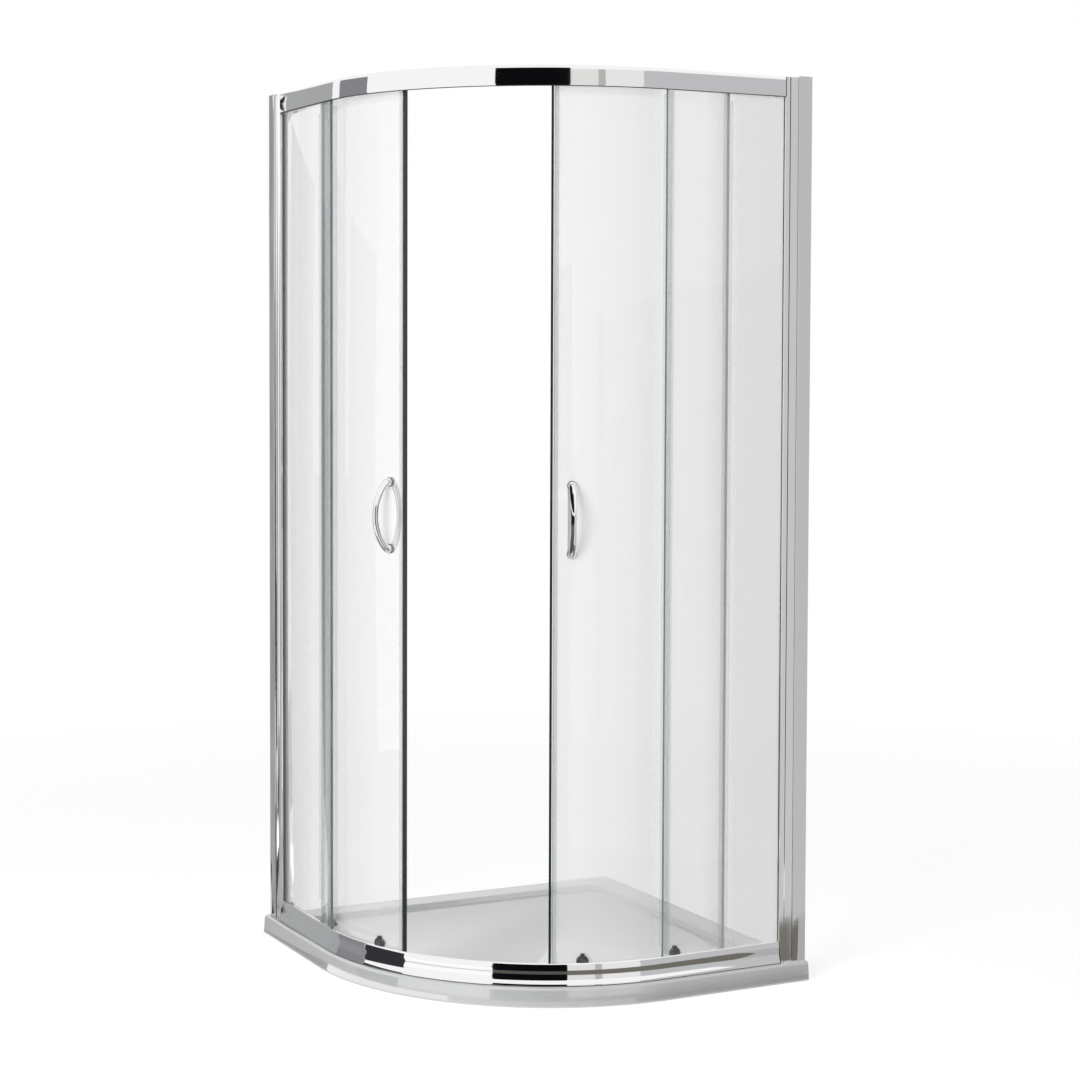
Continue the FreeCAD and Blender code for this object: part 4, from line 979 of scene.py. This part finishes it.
# %% [markdown]
# ## Handles
#
# A handle is a cast zinc bow on two feet. It is made as a ring that is extruded along the bow:
# each step moves, tips and resizes the ring, as one would with E, R and S. Two rounds of
# subdivision then smooth it.

# %% A handle's bow
def bow_handle(name, reach, rise_start=8.0, span=70.0, slim=6.5):
    """Stands on its feet at x = 1.05, with the grip at x = reach, in millimetres. Each ring is
    its place (x, z), how far it is tipped in degrees, and its radii across and along the bow."""
    rise = reach - slim - rise_start
    bend = (span ** 2 + rise ** 2) / (2 * rise)
    sweep = math.asin(span / bend)
    half_way = [(1.05, -span, 0, 9.5, 9.5), (1.5, -span, 0, 9.5, 9.5),
                (4.5, -span, 4, 9.3, 9.3), (8.2, -span + 0.6, 20, 8.9, 8.9)]
    for share in (0.88, 0.76, 0.62, 0.46, 0.30, 0.15, 0):
        angle = -sweep * share
        half_way.append((rise_start + rise - bend * (1 - math.cos(angle)),
                         bend * math.sin(angle), 90 + math.degrees(angle),
                         6.25 + 2.5 * share ** 2, slim + 0.9 * share ** 2))
    rings = half_way + [(x, -z, 180 - tip, wide, deep)
                        for x, z, tip, wide, deep in half_way[-2::-1]]
    bpy.ops.object.select_all(action="DESELECT")
    bpy.ops.mesh.primitive_circle_add(vertices=16, radius=0.0095,
                                      location=(0.00105, 0, -span / 1000),
                                      rotation=(0, math.pi / 2, 0))
    bow = bpy.context.active_object
    bow.name = name
    bpy.ops.object.transform_apply(location=True, rotation=True)
    bpy.ops.object.mode_set(mode="EDIT")
    bpy.ops.mesh.select_mode(type="EDGE")
    bpy.ops.mesh.select_all(action="SELECT")
    for before, after in zip(rings, rings[1:]):
        extrude(x=(after[0] - before[0]) / 1000, z=(after[1] - before[1]) / 1000)
        middle = (after[0] / 1000, 0, after[1] / 1000)
        bpy.ops.transform.rotate(value=math.radians(after[2] - before[2]), orient_axis="Y",
                                 center_override=middle)
        across, along = after[3] / before[3], after[4] / before[4]
        bpy.ops.transform.resize(value=(along, across, along), center_override=middle)
    for end in (-1, 1):
        pick(bow, "edges", lambda middle, item: middle.x < 0.00106 and middle.z * end > 0)
        bpy.ops.mesh.edge_face_add()
        bpy.ops.mesh.inset(thickness=0.0004)
    settle(bow, plated_handle)
    only(bow)
    smooth = bow.modifiers.new("smooth", "SUBSURF")
    smooth.levels = smooth.render_levels = 2
    bpy.ops.object.modifier_apply(modifier=smooth.name)
    bpy.ops.object.shade_smooth()
    return bow


# %% The four handles
ON_DOOR = DOOR @ Matrix.Rotation(math.radians(5.2), 4, "Z")
for side, reach, start, facing in (("outer", 47.5, OUTER_FACE, 0), ("inner", 32, 0.4954, 180)):
    bow = bow_handle(f"bow_{side}_right", reach)
    bow.data.transform(ON_DOOR @ Matrix.Translation((start, 0, HANDLE_HEIGHT))
                       @ Matrix.Rotation(math.radians(facing), 4, "Z"))
    twin = other_side(bow, f"bow_{side}_left")
    stands_for(bow, "door_right", "handle_chrome", f"handle_{side}_right")
    stands_for(twin, "door_left", "handle_chrome", f"handle_{side}_left")

# %% [markdown]
# ## Bottom roller housings
#
# Each housing is a round moulding in glossy black with a level foot, a shallow ring on its face
# and a pocket on top for the release button. The disc is extruded from a circle, its edge is
# bevelled, and the ring is inset. The flat foot is cut off with a bisect.

# %% A housing
HOUSING_RADIUS = 0.0125
HOUSING_DEPTH = 0.009
GAP = 0.00005


def roller_housing(name):
    """Drawn in metres round its axis, which runs out along X from the glass at x = 0."""
    bpy.ops.object.select_all(action="DESELECT")
    bpy.ops.mesh.primitive_circle_add(vertices=64, radius=HOUSING_RADIUS, fill_type="NGON",
                                      rotation=(0, math.pi / 2, 0))
    housing = bpy.context.active_object
    housing.name = name
    bpy.ops.object.transform_apply(rotation=True)
    bpy.ops.object.mode_set(mode="EDIT")
    bpy.ops.mesh.select_all(action="SELECT")
    slide(x=GAP)
    extrude(x=HOUSING_DEPTH - GAP)
    bpy.ops.mesh.inset(thickness=0.0018)
    slide(x=-0.0002)
    pick(housing, "verts", lambda middle, item: middle.x > 0.0086 and middle.yz.length > 0.0120)
    slide(x=-0.0016)
    pick(housing, "faces", lambda middle, item: middle.x > 0.0086 and len(item.verts) > 20)
    bpy.ops.mesh.inset(thickness=0.0012)
    bpy.ops.mesh.inset(thickness=0.0005)
    slide(x=-0.0006)
    bpy.ops.mesh.inset(thickness=0.0012)
    bpy.ops.mesh.inset(thickness=0.0005)
    slide(x=0.0006)
    bpy.ops.mesh.select_all(action="SELECT")
    bpy.ops.mesh.bisect(plane_co=(0, 0, -0.005), plane_no=(0, 0, -1), use_fill=True,
                        clear_outer=True)
    settle(housing, roller_black)
    bpy.ops.object.select_all(action="DESELECT")
    bpy.ops.mesh.primitive_cube_add(size=1, location=(0.00075, 0, 0.0))
    guide = bpy.context.active_object
    guide.scale = (0.0035, 0.0136, 0.04)
    cut_away(housing, guide)
    bpy.ops.object.select_all(action="DESELECT")
    bpy.ops.mesh.primitive_cube_add(size=1, location=(0.0047, 0, 0.0135))
    pocket = bpy.context.active_object
    pocket.scale = (0.0054, 0.0086, 0.02)
    cut_away(housing, pocket)
    soften(housing, 0.00025, 2, 40)
    return housing


ROLLERS = (("lead", 8), ("trail", 31.5))
AXIS_HEIGHT = 0.084
for end, angle in ROLLERS:
    housing = roller_housing(f"roller_housing_right_{end}")
    housing.data.transform(DOOR @ Matrix.Rotation(math.radians(angle), 4, "Z")
                           @ Matrix.Translation((OUTER_FACE, 0, AXIS_HEIGHT)))
    twin = other_side(housing, f"roller_housing_left_{end}")
    stands_for(housing, "door_right", "black_plastic", f"bottom_housing_right_{end}")
    stands_for(twin, "door_left", "black_plastic", f"bottom_housing_left_{end}")

# %% [markdown]
# ## Release springs
#
# A little steel spring holds each release button up. A ring of wire is wound with a Screw
# modifier and its two open ends are filled. On the real door the spring is squeezed against its
# foot when the button is pressed; here it only rides on its door.

# %% A spring under each button
SPRING_FOOT = 0.0878
SPRING_OUT = 0.5062
SPRING_RADIUS = 0.0017
WIRE = 0.00025
TURNS = 5
PITCH = 0.00122


def release_coil(name):
    bpy.ops.object.select_all(action="DESELECT")
    bpy.ops.mesh.primitive_circle_add(vertices=10, radius=WIRE, location=(SPRING_RADIUS, 0, 0),
                                      rotation=(math.pi / 2, 0, 0))
    coil = bpy.context.active_object
    coil.name = name
    bpy.ops.object.transform_apply(location=True, rotation=True)
    winding = coil.modifiers.new("winding", "SCREW")
    winding.axis = "Z"
    winding.iterations = TURNS
    winding.screw_offset = PITCH
    winding.steps = winding.render_steps = 24
    bpy.ops.object.modifier_apply(modifier=winding.name)
    bpy.ops.object.mode_set(mode="EDIT")
    bpy.ops.mesh.select_all(action="SELECT")
    bpy.ops.mesh.fill_holes(sides=12)
    settle(coil, spring_steel)
    bpy.ops.object.shade_smooth()
    return coil


for end, angle in ROLLERS:
    coil = release_coil(f"release_coil_right_{end}")
    coil.data.transform(DOOR @ Matrix.Rotation(math.radians(angle), 4, "Z")
                        @ Matrix.Translation((SPRING_OUT, 0, SPRING_FOOT)))
    twin = other_side(coil, f"release_coil_left_{end}")
    for piece, side in ((coil, "right"), (twin, "left")):
        stands_for(piece, f"door_{side}", "screw_steel", f"release_spring_{side}_{end}")
        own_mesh(piece)
